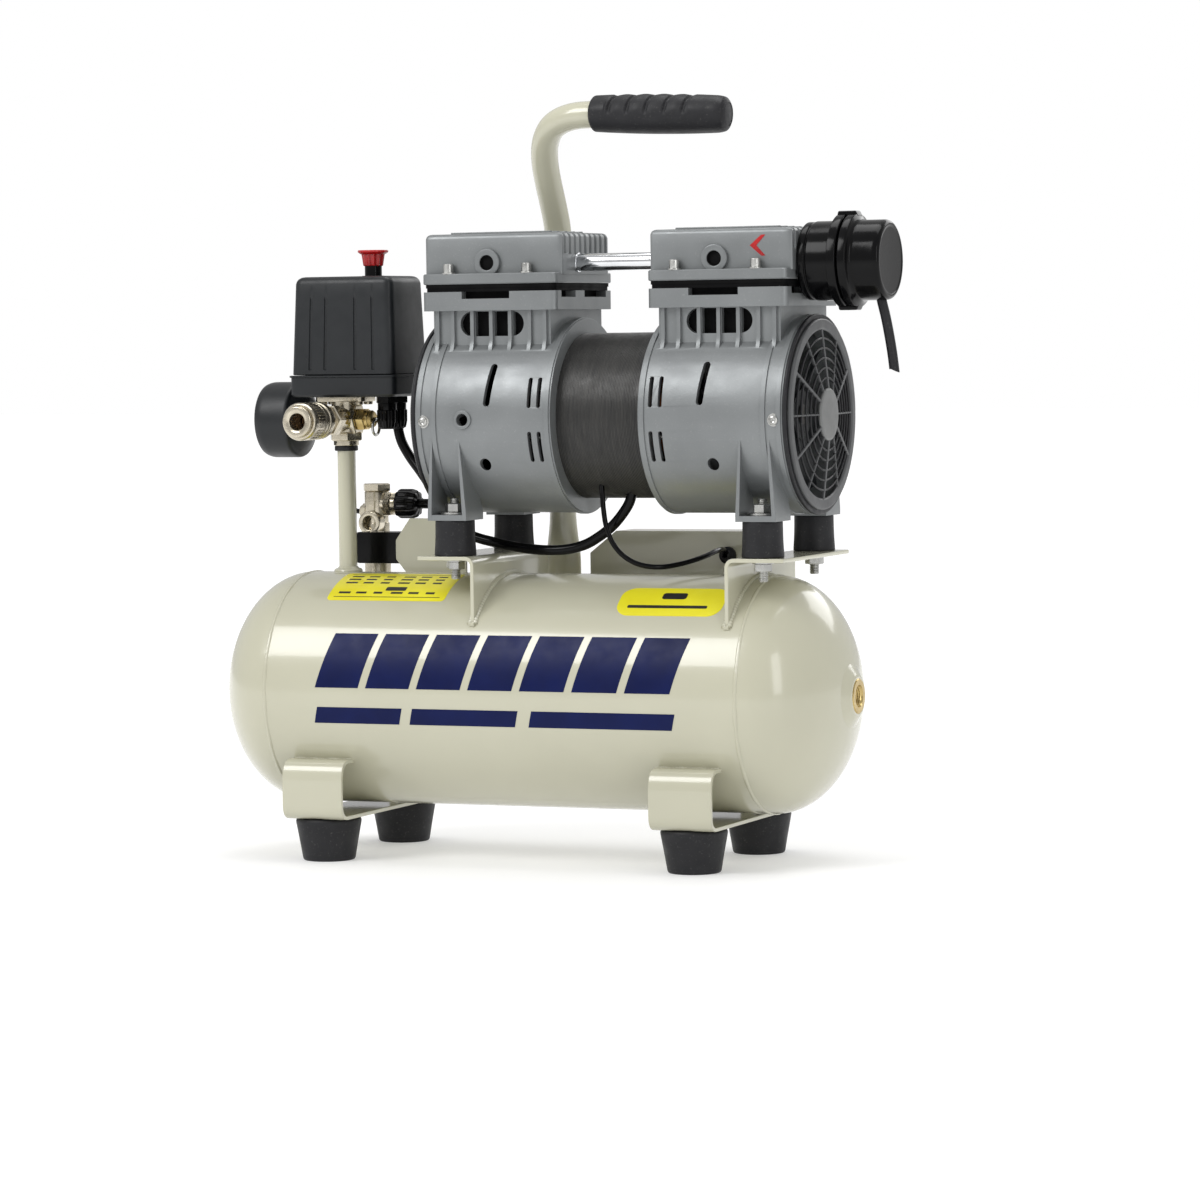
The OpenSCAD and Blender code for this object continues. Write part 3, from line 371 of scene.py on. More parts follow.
def stator_steel():
    """Stacked steel sheets, seen on edge: fine rings across the X axis."""
    n = Nodes("stator_steel")
    lines = n.add("ShaderNodeTexWave", Vector=n.place, Scale=320, Distortion=0, Detail=0).outputs[1]
    streaks = n.ranged(n.noise(60, 4, (12, 1, 1)), 0, 1)
    dark = n.mixed(streaks, linear((33, 33, 33)), linear((54, 53, 51)))
    n.look(Base_Color=n.mixed(n.ranged(lines, 0, 0.2, 0.2, 0.9), dark, linear((72, 71, 69))),
           Roughness=n.ranged(n.noise(120, 3), 0.34, 0.52), Normal=n.bumped(lines, 0.15, GRAIN_DEPTH),
           Metallic=0.3)
    FINISHES["stator_steel"] = n.material, "stator_steel"


finish("cream_paint", (190, 188, 167), (184, 182, 161), (0.2, 0.25), tint_scale=9, wave_scale=90,
       wave=0.1, grain_scale=1500, grain=0.05, coat=0.55)
finish("cast_aluminium", (130, 133, 134), (118, 121, 122), (0.32, 0.48), metallic=0.45, tint_scale=18,
       grain_scale=1400, grain=0.45, wave_scale=420, wave=0.1, dust=0.12)
finish("zinc_steel", (196, 196, 192), (168, 168, 166), (0.2, 0.42), metallic=0.95, tint_scale=120,
       grain=0.2)
finish("nickel_plate", (206, 198, 180), (178, 170, 152), (0.12, 0.34), metallic=0.95, tint_scale=80,
       grain=0.1, wave_scale=500, wave=0.08)
finish("bright_chrome", (226, 227, 229), (205, 207, 210), (0.07, 0.16), metallic=1, tint_scale=60,
       grain=0.05)
finish("brass", (200, 178, 122), (166, 142, 88), (0.18, 0.4), metallic=0.9, tint_scale=90, grain=0.15)
finish("dark_bronze", (88, 64, 40), (60, 44, 28), (0.3, 0.5), metallic=0.6, tint_scale=120, grain=0.1,
       slot="brass")
finish("black_rubber", (30, 30, 33), (23, 23, 26), (0.42, 0.62), tint_scale=35, grain_scale=1200,
       grain=0.3, dust=0.06, specular=0.32)
finish("charcoal_plastic", (25, 28, 31), (19, 22, 25), (0.36, 0.48), tint_scale=30, grain_scale=1700,
       grain=0.35, specular=0.4)
finish("black_plastic", (10, 10, 11), (6, 6, 7), (0.12, 0.2), tint_scale=30, grain_scale=900,
       grain=0.08, wave_scale=260, wave=0.06, specular=0.15)
# Painted shade: a flat black for gaps, holes and hollows that are seen only in shade.
finish("painted_shade_black", (9, 9, 10), (6, 6, 7), (0.6, 0.8), tint_scale=30, grain=0.1, specular=0.1,
       slot="black_rubber")
finish("grey_plastic", (150, 152, 154), (134, 136, 139), (0.34, 0.5), tint_scale=40, grain_scale=1300,
       grain=0.25)
finish("guard_grey", (76, 77, 78), (66, 67, 69), (0.4, 0.55), tint_scale=50, grain_scale=1300,
       grain=0.25, slot="grey_plastic")
finish("hub_grey", (112, 113, 112), (100, 101, 101), (0.4, 0.55), tint_scale=50, grain_scale=1300,
       grain=0.25, slot="grey_plastic")
finish("red_plastic", (186, 22, 24), (150, 14, 18), (0.22, 0.36), tint_scale=60, grain=0.1)
finish("rotor_steel", (112, 110, 106), (80, 78, 76), (0.3, 0.5), metallic=0.9, tint_scale=80, grain=0.3)
finish("copper_winding", (168, 96, 52), (118, 62, 34), (0.25, 0.45), metallic=0.8, tint_scale=150,
       grain=0.5, stretch=(1, 6, 6))
finish("dial_white", (236, 235, 228), (226, 225, 216), (0.5, 0.65), tint_scale=50, grain=0.05)
finish("label_yellow", (236, 228, 44), (226, 214, 30), (0.3, 0.42), tint_scale=40, grain_scale=1100,
       grain=0.08, coat=0.2, slot="dial_white")
finish("print_black", (34, 34, 36), (24, 24, 26), (0.4, 0.55), tint_scale=70, grain=0.1,
       slot="black_plastic")
finish("print_navy", (9, 22, 74), (7, 17, 62), (0.34, 0.46), tint_scale=40, grain=0.06, specular=0.15,
       slot="cream_paint")
stator_steel()
clear_lens()


# ---- Pieces ----

def node_row(name, *kinds):
    """A geometry-nodes group with its nodes in a row, each fed by the one before."""
    group = bpy.data.node_groups.new(name, "GeometryNodeTree")
    for way in ("INPUT", "OUTPUT"):
        group.interface.new_socket("Geometry", in_out=way, socket_type="NodeSocketGeometry")
    row = [group.nodes.new(kind) for kind in ("NodeGroupInput", *kinds, "NodeGroupOutput")]
    for before, after in zip(row, row[1:]):
        group.links.new(before.outputs[0], after.inputs[0])
    return group, row


def welding_group():
    """Geometry nodes that merge a CAD node's doubled points and forget its stored normals."""
    group, row = node_row("weld_points", "GeometryNodeRemoveAttribute", "GeometryNodeMergeByDistance")
    row[1].inputs["Name"].default_value = "custom_normal"
    row[2].inputs["Distance"].default_value = 0.02 * MM
    return group


def smoothing_group():
    """Geometry nodes that shade everything smooth except across sharp edges."""
    group, row = node_row("smooth_by_angle", "GeometryNodeSetShadeSmooth", "GeometryNodeSetShadeSmooth")
    row[2].domain = "EDGE"
    angle = group.nodes.new("GeometryNodeInputMeshEdgeAngle")
    below = group.nodes.new("FunctionNodeCompare")
    below.operation = "LESS_THAN"
    below.inputs[1].default_value = SHARP
    group.links.new(angle.outputs[0], below.inputs[0])
    group.links.new(below.outputs[0], row[2].inputs["Shade Smooth"])
    return group


WELDING = welding_group()
SMOOTHING = smoothing_group()


def dress(obj, bevel, slot, *groups):
    """Rounds an object's edges, if wanted, and shades it. Its slot argument is not used."""
    for group in groups:
        obj.modifiers.new(group.name, "NODES").node_group = group
    if bevel:
        rounded = obj.modifiers.new("rounded_edges", "BEVEL")
        rounded.width = bevel * MM
        rounded.segments = 2
        rounded.limit_method = "ANGLE"
        rounded.angle_limit = SHARP
        rounded.miter_outer = "MITER_ARC"
        rounded.use_clamp_overlap = True
    obj.modifiers.new(SMOOTHING.name, "NODES").node_group = SMOOTHING
    if bevel:
        obj.modifiers.new("weighted_normals", "WEIGHTED_NORMAL").keep_sharp = True


def in_scene(name, data):
    obj = bpy.data.objects.new(name, data)
    bpy.context.scene.collection.objects.link(obj)
    return obj


def piece(name, shape, finish_name, stands_for=None, body="frame", bevel=0):
    """Makes an object from a shape in millimetres. It may stand for a CAD node."""
    points, faces = whole(shape)
    mesh = bpy.data.meshes.new(name)
    mesh.from_pydata([TANK + Vector(p) * MM for p in points], [], faces)
    mesh.validate()
    work = bmesh.new()
    work.from_mesh(mesh)
    bmesh.ops.recalc_face_normals(work, faces=work.faces)
    work.to_mesh(mesh)
    work.free()
    obj = in_scene(name, mesh)
    material, slot = FINISHES[finish_name]
    mesh.materials.append(material)
    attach(obj, body)
    dress(obj, bevel, slot)
    if stands_for:
        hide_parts(stands_for)
    return obj


def keep(finish_name, *nodes, bevel=0):
    """Gives CAD nodes a finish and, if wanted, rounded edges."""
    material, slot_name = FINISHES[finish_name]
    for node in nodes:
        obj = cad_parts[node]
        for slot in obj.material_slots:
            slot.link = "OBJECT"
            slot.material = material
        dress(obj, bevel, slot_name, WELDING)


# ---- Tank ----

TANK_AXIS = Box("tank_ends").middle.z
TANK_R = Box("tank_ends").half_z
BARREL_HALF = Box("tank_barrel").x1


def on_tank(x, angle, radius=TANK_R):
    """A point on the tank, at an angle in degrees from the top towards the front."""
    a = math.radians(angle)
    return Vector((x, -radius * math.sin(a), TANK_AXIS + radius * math.cos(a)))


def wrapped(x0, x1, a0, a1, corner=0, lean=0, thick=0.14):
    """A thin plate bent round the tank from x0 to x1 between two angles, with rounded corners."""
    row_angle, corner_steps, narrowest, sunk = 1.5, 8, 0.05, 0.3
    rows = max(4, round((a1 - a0) / row_angle))
    half_angle, middle_angle = (a1 - a0) / 2, (a0 + a1) / 2
    half = math.radians(half_angle) * TANK_R
    quarter = [TAU / 4 * k / corner_steps for k in range(corner_steps + 1)] if corner else [0]
    ends = [corner * (1 - math.cos(a)) for a in quarter]
    rings = []
    for x in [x0 + e for e in ends] + [x1 - e for e in reversed(ends)]:
        short = max(0, corner - min(x - x0, x1 - x))
        reach = max(half - corner + math.sqrt(max(0, corner ** 2 - short ** 2)), narrowest)
        line = [middle_angle + half_angle * reach / half * (2 * k / rows - 1) for k in range(rows + 1)]
        shift = [lean * (middle_angle - a) / half_angle for a in line]
        outer = [on_tank(x + s, a, TANK_R + thick) for a, s in zip(line, shift)]
        inner = [on_tank(x + s, a, TANK_R - sunk) for a, s in zip(line, shift)]
        rings.append(outer + inner[::-1])
    return skin(rings)


def make_tank():
    seams = [bead([on_tank(side * BARREL_HALF, a, TANK_R - 0.75) for a in range(180, 541, 3)],
                  radius=1.4, ripple=0.04, step=1.2) for side in (-1, 1)]
    piece("tank_weld_seams", seams, "cream_paint")
    bush = Box("end_port_bush")
    depth, outer, bore = bush.x1 - bush.x0, bush.half_z, 5.9
    thread = [(bore + 0.6 * crest, depth - 1.2 - 1.3 * k - 0.65 * (1 - crest))
              for k in range(8) for crest in (1, 0)]
    ring = [(outer, 0), (outer, depth - 0.8), (outer - 0.8, depth), (bore + 1, depth), *thread,
            (bore, 0)]
    piece("end_port_thread", placed(lathe(ring, 64, loop=True), (bush.x0, 0, TANK_AXIS), RIGHT),
          "brass", "end_port_bush")
    mound = [(outer + r, z) for r, z in ((-0.5, -9), (-0.5, -0.6), (1.4, -0.5), (4, -2.1), (7.5, -4.1),
                                         (11, -6.4), (9, -9))]
    mound = turned(mound, [0, 0.4, 1, 2, 2, 0.4, 0], 72, loop=True)
    piece("end_port_weld", placed(mound, (bush.x1, 0, TANK_AXIS), RIGHT), "cream_paint")
    screw = Box("drain_screw")
    plug = [hexagon(7.5, 0, 5.5, 0.8), rod(3, 5, 19.5)]
    piece("drain_plug", placed(plug, (*screw.middle.xy, screw.z0)), "brass", "drain_screw",
          body="drain_screw")


def make_labels():
    """Plain labels and stripes: their marks are bars and dots, without any wording."""
    piece("left_label", wrapped(-127, -46, 8, 38, corner=3), "label_yellow")
    piece("right_label", wrapped(71, 140, 25, 46, corner=9), "label_yellow")
    bars = [(-123, -50, 10.6, 11, 0), (-123, -50, 35, 35.4, 0), (-90, -76, 26.5, 30, 1),
            (78, 130, 39, 41, 0.8), (98, 114, 29.5, 34.5, 2)]
    bars += [(-121 + 12 * k, -113 + 12 * k - k % 3, a, a + 1.6, 0)
             for k in range(6) for a in (13.5, 17.5, 21.5, 31)]
    piece("label_marks", [wrapped(*bar, thick=0.2) for bar in bars], "print_black")
    starts = [-117 + 34.6 * k for k in range(7)]
    stripes = [wrapped(x, x + 29.5, 58.5, 86, lean=5) for x in starts]
    stripes += [wrapped(x0, x1, 95.5, 103.5, lean=1.3) for x0, x1 in ((-122, -64), (-57, 14), (23, 117))]
    piece("tank_stripes", stripes, "print_navy")


def corner_places(node, r):
    """The (x, y) middles of four round things of radius r in the corners of a node's box."""
    box = Box(node)
    return [(x, y) for x in (box.x0 + r, box.x1 - r) for y in (box.y0 + r, box.y1 - r)]


FOOT_R, MOUNT_R = 20.6, 13
FEET = corner_places("rubber_feet", FOOT_R)
MOUNTS = corner_places("vibration_mounts", MOUNT_R)


def make_feet():
    straps = Box("foot_straps")
    half_w, thick, weld_y = 20.5, 2.5, 59.6
    wall, tip, floor = straps.y1 - thick / 2, straps.z1 - 1.1, straps.z0 + thick / 2
    line = softened([(56, tip - 0.4), (wall, tip), (wall, floor), (-wall, floor), (-wall, tip),
                     (-56, tip - 0.4)], [0, 13, 8, 8, 13, 0], steps=9)
    outline = sheet_line(line, thick)
    shapes, welds = [], []
    for x in sorted({x for x, y in FEET}):
        shapes.append(prism(outline, x - half_w, x + half_w, "x"))
        for y in (-weld_y, weld_y):
            ends = [(x + u, y, straps.z1 - 0.2) for u in (1 - half_w, half_w - 1)]
            welds.append(bead(ends, radius=1.7, ripple=0.14))
    piece("foot_strap_bends", shapes, "cream_paint", "foot_straps", bevel=0.6)
    piece("foot_strap_welds", welds, "cream_paint")
    h = Box("rubber_feet").z1
    side = [(8.4, 0), (15.6, 0), (16.4, 1), (18.1, h * 0.42), (20.3, h - 3.5), (FOOT_R, h - 1.6),
            (19.6, h), (3.2, h), (3.2, 14), (8, 14)]
    foot = turned(side, [0.4, 0.6, 1, 4, 2, 1, 1.2, 0.3, 0.3, 1], 72, loop=True)
    piece("ribbed_feet", spread(foot, FEET), "black_rubber", "rubber_feet")


def make_hardware():
    low = Box("foot_straps").z0
    foot_bolt = [hexagon(5.8, 10, 14), rod(3, 13.5, low, 0.2, 24), threaded(3, low, low + 10),
                 hexagon(5.8, low + 2.5, low + 7.5)]
    plate = Box("motor_brackets").z1
    pad = plate + 22
    mount_bolt = [threaded(3, plate - 14.5, plate - 2), rod(6.6, plate - 3.6, plate - 2.5, 0.2),
                  hexagon(5.8, plate - 8.4, plate - 3.6), rod(3, plate - 2.5, plate + 5, 0.2, 24),
                  rod(3, pad - 7, pad + 4, 0.2, 24), rod(9, pad + 3.5, pad + 4.9, 0.3),
                  hexagon(6, pad + 4.9, pad + 10.4, 0.8), threaded(3, pad + 10, pad + 13.5)]
    piece("m6_hardware", [spread(foot_bolt, FEET, step=17), spread(mount_bolt, MOUNTS, turn=11, step=23)],
          "zinc_steel", "m6_fasteners")


def make_brackets():
    box = Box("motor_brackets")
    thick, width, leg_end = 2.5, 38, 140
    edge = math.degrees(math.asin(box.y1 / TANK_R))
    shapes, welds = [], []
    for far, inward in ((box.x0, 1), (box.x1, -1)):
        leg = far + inward * (width - thick / 2)
        z = box.z1 - thick / 2
        line = softened([(far, z), (leg, z), (leg, leg_end)], 5, steps=6)
        shapes.append(prism(sheet_line(line, thick), -box.y1, box.y1, "y"))
        for x in (leg - 1.6, leg + 1.6):
            welds.append(bead([on_tank(x, edge * k / 12, TANK_R + 0.4) for k in range(-12, 13)],
                              radius=1.5, ripple=0.15))
        welds.append(bead([on_tank(leg + u, edge, TANK_R + 0.6) for u in (-1.8, 1.8)], radius=1.6))
    piece("motor_bracket_bends", shapes, "cream_paint", "motor_brackets", bevel=0.6)
    piece("motor_bracket_welds", welds, "cream_paint")
    h = Box("vibration_mounts").z1 - box.z1
    side = softened([(0, 0), (MOUNT_R, 0), (12.3, h / 2), (12.2, h), (0, h)], [0, 0.9, 5, 0.9, 0], steps=5)
    piece("rubber_mounts", spread(lathe(side), MOUNTS, box.z1), "black_rubber", "vibration_mounts")


# ---- Handle ----

HANDLE_ROUTE = [
    *[(-16.5, 75, z) for z in (110, 150, 180, 205, 240, 300, 350, 375)], (-16.5, 72.5, 393),
    (-16.5, 66, 408), (-16.2, 58, 422), (-15, 50.5, 435), (-11, 43, 446.5), (-3, 36.5, 455.5),
    (9, 32.8, 460.5), (25, 31.5, 462), (60, 31.5, 461), (90, 31.5, 460.1), (112, 31.5, 459.4),
]
HANDLE_R = 8.5


def handle_section(p):
    """Half widths of the handle: a round tube, pressed flat at its foot."""
    flat_top, change, flat = 178, 34, (12, 5.6)
    share = min(1, max(0, (p.z - flat_top) / change))
    share = share * share * (3 - 2 * share)
    return [half + (HANDLE_R - half) * share for half in flat]


def make_handle():
    piece("bent_handle", sweep(HANDLE_ROUTE, HANDLE_R, 36, 6, RIGHT, handle_section), "cream_paint",
          "handle_tube")
    welds = [bead([(x, 70.5, 112), (x, 67.2, 133)], radius=1.8) for x in (-28, -5)]
    welds.append(bead([(-28, 71.5, 110.5), (-5, 71.5, 110.5)], radius=1.8))
    piece("handle_welds", welds, "cream_paint")
    make_grip()


def make_grip():
    """The rubber grip: crowned along its length, with grooves across its upper side only."""
    start, length, droop = Vector((26.5, 31.5, 462.4)), 91, math.radians(1.9)
    pitch, around = 12.5, 72
    grooves = [17 + pitch * k for k in range(5)]
    stations = [0.35 * k for k in range(6)] + [2 + 0.5 * k for k in range(179)]
    stations += [length - 2 + 0.34 * k for k in range(6)]
    rings = []
    for t in stations:
        base = 12.3 - 1.2 * (2 * t / length - 1) ** 2
        base -= 2.6 * max(0, 1 - min(t, length - t) / 2.6) ** 2 + 1.4 * max(0, 1 - (length - t) / 8) ** 2
        ring = []
        for k in range(around):
            a = TAU * k / around
            upper = min(max((math.cos(a - 0.15) - 0.1) / 0.3, 0), 1)
            place = t + 2.4 * math.sin(a)
            cut = sum(math.exp(-((place - g) / 1.1) ** 4) for g in grooves)
            swell = 0.3 * math.cos(TAU * (place - grooves[0]) / pitch) if 14 < place < 70 else -0.3
            r = base - upper * (1.3 * cut + swell)
            ring.append((r * math.cos(a), r * math.sin(a), t))
        rings.append(ring)
    ends = [hoop(Vector((0, 0, t)), Vector(RIGHT), Vector(REAR), AXIS_R, AXIS_R, around)
            for t in (0, length)]
    points, faces = skin([ends[0], *rings, ends[1]])
    along = Vector((math.cos(droop), 0, -math.sin(droop)))
    turn = Matrix((along, Vector(REAR), along.cross(Vector(REAR)))).transposed()
    shape = [start + turn @ Vector((z, -y, x)) for x, y, z in points], faces
    piece("ribbed_grip", shape, "black_rubber", "handle_grip")


# ---- Switch and fittings ----

def box_section(half_x, half_y, corner, grooves=(), depth=0.9, half_w=0.8):
    """Outline of a rounded box about its middle, with upright grooves in its front and rear."""
    front = [(-half_x, -half_y)]
    for g in grooves:
        front += [(g - half_w - 0.3, -half_y), (g - half_w, -half_y + depth),
                  (g + half_w, -half_y + depth), (g + half_w + 0.3, -half_y)]
    front.append((half_x, -half_y))
    rear = [(-u, -v) for u, v in front]
    corners = front + rear
    cuts = [0.2] * len(corners)
    for i in (0, len(front) - 1, len(front), len(corners) - 1):
        cuts[i] = corner
    return softened(corners, cuts, loop=True, steps=5)


def box_loft(middle, levels, corner, grooves=()):
    """Rings of rounded sections. A level is (height, half x, half y, groove depth, corner)."""
    rings = []
    for z, half_x, half_y, depth, shrink in levels:
        share = half_x / levels[1][1]
        outline = box_section(half_x, half_y, max(1, corner - shrink), [g * share for g in grooves],
                              depth)
        rings.append([Vector((middle.x + p.x, middle.y + p.y, z)) for p in outline])
    return rings


def make_switch():
    base = Box("switch_base")
    levels = [(z, base.half_x + grow, base.half_y + grow, 0, shrink) for z, grow, shrink in (
        (base.z0, -2, 1), (base.z0 + 0.4, -1, 0.5), (base.z0 + 1.6, 0, 0), (base.z1 - 1.4, 0, 0),
        (base.z1 - 1.1, 0.8, 0), (base.z1 - 0.2, 0.8, 0), (base.z1, 0.4, 0))]
    piece("switch_tray", skin(box_loft(base.middle, levels, 5)), "charcoal_plastic", "switch_base")
    cover = Box("switch_cover")
    low, high = cover.z0 + 0.25, cover.z1
    levels = []
    for z, inset, depth in ((low, 0.5, 0), (low + 0.5, 0, 0), (low + 3, 0, 0), (low + 3.6, 0, 0.9),
                            (high - 14, 0, 0.9), (high - 12.5, 0, 0), (high - 4.5, 0, 0),
                            (high - 2.6, 0.5, 0), (high - 1.2, 1.5, 0), (high - 0.3, 3, 0),
                            (high, 4.8, 0)):
        taper = (z - low) / (high - low)
        levels.append((z, cover.half_x * (1 - 0.055 * taper) - inset,
                       cover.half_y * (1 - 0.1 * taper) - inset, depth, inset * 0.4))
    rings = box_loft(cover.middle, levels, 5.5, (-22, -11.5, 9.5, 22))
    knob = Box("switch_knob")
    x, top = knob.middle.x, knob.z1
    well = [Vector((p.x - x, p.y, 0)).normalized() * 5.7 for p in rings[0]]
    rings += [[Vector((x, 0, z)) + p for p in well] for z in (high, high - 0.3, knob.z0 - 8)]
    piece("switch_hood", skin(rings), "charcoal_plastic", "switch_cover")
    piece("knob_neck", placed(rod(5.4, knob.z0, top - 9.5), (x, 0, 0)), "black_plastic",
          body="switch_knob")
    collar = pipe(7.2, 5.6, high - 0.4, high + 0.4, 0.3)
    piece("knob_collar", placed(collar, (x, 0, 0)), "charcoal_plastic")
    body = turned([(0, top - 10), (6.2, top - 10), (7.3, top - 3), (7.6, top - 1.6), (0, top - 1.6)],
                  0.6, 96, lobes=12, depth=0.9)
    flange = turned([(0, top - 3.2), (7.8, top - 2.6), (9.7, top - 1.4), (9.6, top), (8.2, top),
                     (6.8, top - 1.3), (0, top - 1.6)], 0.5, 96, lobes=24, depth=0.25)
    piece("knob_cap", placed([body, flange], (x, 0, 0)), "red_plastic", "switch_knob", body="switch_knob")
    make_glands(base.z0)


def make_glands(low):
    box = Box("cable_glands")
    line = softened([(4.2, low - 20), (5.6, low - 20), (6.6, low - 15.5), (6.6, low - 8.5),
                     (0, low - 8.5), (0, low - 14), (4.2, low - 14)], 0.6, loop=True)
    dome = lathe(line, 80, lobes=20, depth=0.35)
    gland = [hexagon(7.5, low - 4.4, low), rod(6, low - 9, low - 4, 0.3), dome]
    places = [(box.middle.x, y) for y in (box.y0 + 7.5, box.y1 - 7.5)]
    piece("ridged_glands", spread(gland, places), "black_plastic", "cable_glands")
    piece("gland_seals", spread(pipe(4.6, 3.1, low - 20.6, low - 15, 0.4), places), "black_rubber")


CROSS = Vector((-133, 0, 273.5))   # the middle of the nickel cross that the fittings screw into


def make_manifold():
    box = Box("manifold")
    low, high = box.z0, box.z1
    stem = (CROSS.x, 0, 0)
    up = [rod(8, low, low + 3.4), hexagon(11, low + 3, low + 8.5, 0.9), rod(9, low + 8, high - 2, 0.8)]
    along_x = [rod(7.5, -15, 5, 0.6), placed(hexagon(9.5, -22, -15, 0.9), turn=30),
               placed(hexagon(10.5, 5, 9.5, 0.9), turn=30)]
    flange = prism(rectangle(-17, 17, -11, 11, 4), high - 3.2, high, "z")
    screws = [placed(rod(3, -2, 0, 0.6, 24), (x, y, high - 3.2)) for x in (-12.5, 12.5) for y in (-7, 7)]
    piece("brass_cross", [placed(up, stem), placed(along_x, CROSS, RIGHT),
                          placed(rod(8, 0, 20, 0.6), CROSS, FRONT), placed([flange, *screws], stem)],
          "nickel_plate", "manifold", bevel=0.35)
    foot = placed(torus(6.9, 2.2, 48, 12, flat=0.8), (CROSS.x, 0, TANK_AXIS + TANK_R + 0.6))
    piece("standpipe_weld", foot, "cream_paint")
    piece("standpipe_seal", placed(pipe(7.4, 5.7, low - 3.4, low - 0.1, 0.8), stem), "black_rubber")


def make_gauge():
    box = Box("gauge_case")
    r = box.half_z
    facing = (box.x0 + 23, 0, box.middle.z), LEFT
    line = [(0, -9), (6, -9), (6, -6), (12, -6.6), (21.4, -0.6), (23.4, 0.2), (r, 1.6), (r, 18.4),
            (r - 0.7, 21), (r - 1.4, 22.4), (r - 2, 22.9), (r - 2.4, 22.4), (r - 2.2, 16), (0, 16)]
    cuts = [0, 0.5, 0.8, 1.5, 1, 0.8, 1.2, 2, 1, 0.6, 0.3, 0.3, 0.3, 0]
    piece("gauge_drum", placed(turned(line, cuts, 96), *facing), "charcoal_plastic", "gauge_case")
    rim = placed(torus(r - 1.9, 0.5, 96, 12), (0, 0, 21.6))
    piece("gauge_rim", placed(rim, *facing), "bright_chrome")
    piece("gauge_face", placed(rod(r - 2.4, 15.4, 16.2, 0.2, 96), *facing), "dial_white", "gauge_dial")
    scale = [lathe([(19.6, 16.1), (20, 16.1), (20, 16.38), (19.6, 16.38)], 96, loop=True)]
    for k in range(21):
        inner, wide = (15.2, 0.45) if k % 5 == 0 else (17, 0.22)
        tick = prism(rectangle(-wide, wide, inner, 19.6), 16.1, 16.4, "z")
        scale.append(placed(tick, turn=135 - 270 / 20 * k))
    piece("gauge_scale", placed(scale, *facing), "print_black")


def make_coupler():
    line = [(8.6, 32), (8.6, 66.8), (9.8, 67.3), (9.8, 69.3), (9.1, 70), (6.8, 70), (5.25, 69.2),
            (5.25, 50), (3.5, 49.5), (3.5, 32)]
    nose = turned(line, [0.3, 0.2, 0.3, 0.4, 0.4, 0.7, 0.5, 0.3, 0.3, 0.3], 72, loop=True)
    socket = [nose, hex_ring(10.5, 3.5, 20, 28, 0.9), pipe(7.5, 3.5, 27.5, 33, 0.4)]
    piece("coupler_socket", placed(socket, CROSS, FRONT), "nickel_plate", "coupler_body")
    piece("coupler_valve", placed(rod(5, 50.5, 53, 0.8), CROSS, FRONT), "dark_bronze")
    line = [(9, 38), (11, 38), (11.8, 39.5), (11.8, 44), (10.9, 45), (10.9, 48), (11.8, 49), (11.8, 50.5),
            (11.4, 51), (11.4, 60.5), (11.8, 61), (11.8, 65), (11, 66.6), (9, 66.6)]
    sleeve = [turned(line, 0.4, 72, loop=True)]
    tooth = prism([(11, -0.45), (11.8, -0.2), (11.8, 0.2), (11, 0.45)], 51.2, 60.3, "z")
    sleeve += [placed(tooth, turn=10 * k) for k in range(36)]
    piece("coupler_grip_ring", placed(sleeve, CROSS, FRONT), "nickel_plate", "coupler_sleeve",
          body="coupler_sleeve")


def make_safety_valve():
    line = [(5.8, 14.8), (5.8, 17), (5.2, 17.4), (5.2, 18), (5.8, 18.4), (4.6, 20), (1.3, 20),
            (1.3, 14.8)]
    shell = [placed(hex_ring(7.5, 1.3, 9.5, 15, 0.7), turn=30), turned(line, 0.3, 48, loop=True)]
    piece("safety_valve_shell", placed(shell, CROSS, RIGHT), "brass", "safety_valve_body")


HOSE_Z = 218   # the height at which the delivery hose leaves the check valve


def make_check_valve():
    box = Box("check_valve")
    x, y = box.x1 - 15, box.middle.y
    upright = [rod(8.5, 142, 181, 0.6), hexagon(10, 181, 190, 0.9), rod(8, 189.5, 206, 0.8),
               rod(7.4, 205, 211, 0.3), rod(8, 210, 226, 0.8), hexagon(9.5, 226, 231, 0.9)]
    arm = [rod(6.5, 0, 15, 0.4), placed(hexagon(8.4, 7.2, 12, 0.7), turn=30)]
    stub = [rod(4, 0, 11, 0.5, 32), hexagon(5.2, 6.5, 10, 0.5)]
    piece("check_valve_shell", [placed(upright, (x, y, 0)), placed(arm, (x, y, HOSE_Z), RIGHT),
                                placed(stub, (x, y, 213), LEFT),
                                placed(pipe(7.6, 4.4, 4, 12.5, 0.9), (x, y, 206), FRONT)],
          "nickel_plate", "check_valve")
    foot = []
    for angle in range(0, 361, 10):
        a, shank = math.radians(angle), 8.9
        py = y + shank * math.sin(a)
        foot.append((x + shank * math.cos(a), py, TANK_AXIS + math.sqrt(TANK_R ** 2 - py ** 2) + 0.3))
    piece("check_valve_weld", bead(foot, radius=1.7, ripple=0.1), "cream_paint")
    nut = turned([(0, 15.2), (8.6, 15.2), (9.5, 17), (9.5, 26), (8.4, 29.4), (5.2, 30.4), (0, 30.4)],
                 0.8, 100, lobes=10, depth=1.1)
    rear = Box("hose_nuts")
    port = (-27, rear.y1 - 11, rear.z1 - 9.5 * math.cos(TAU / 12))
    rear_nut = [hexagon(9.5, 0.3, 7.5, 0.9), rod(6.6, 7, 10.6, 0.8)]
    piece("hose_union_nuts", [placed(nut, (x, y, HOSE_Z), RIGHT), placed(rear_nut, port, REAR)],
          "black_plastic", "hose_nuts")


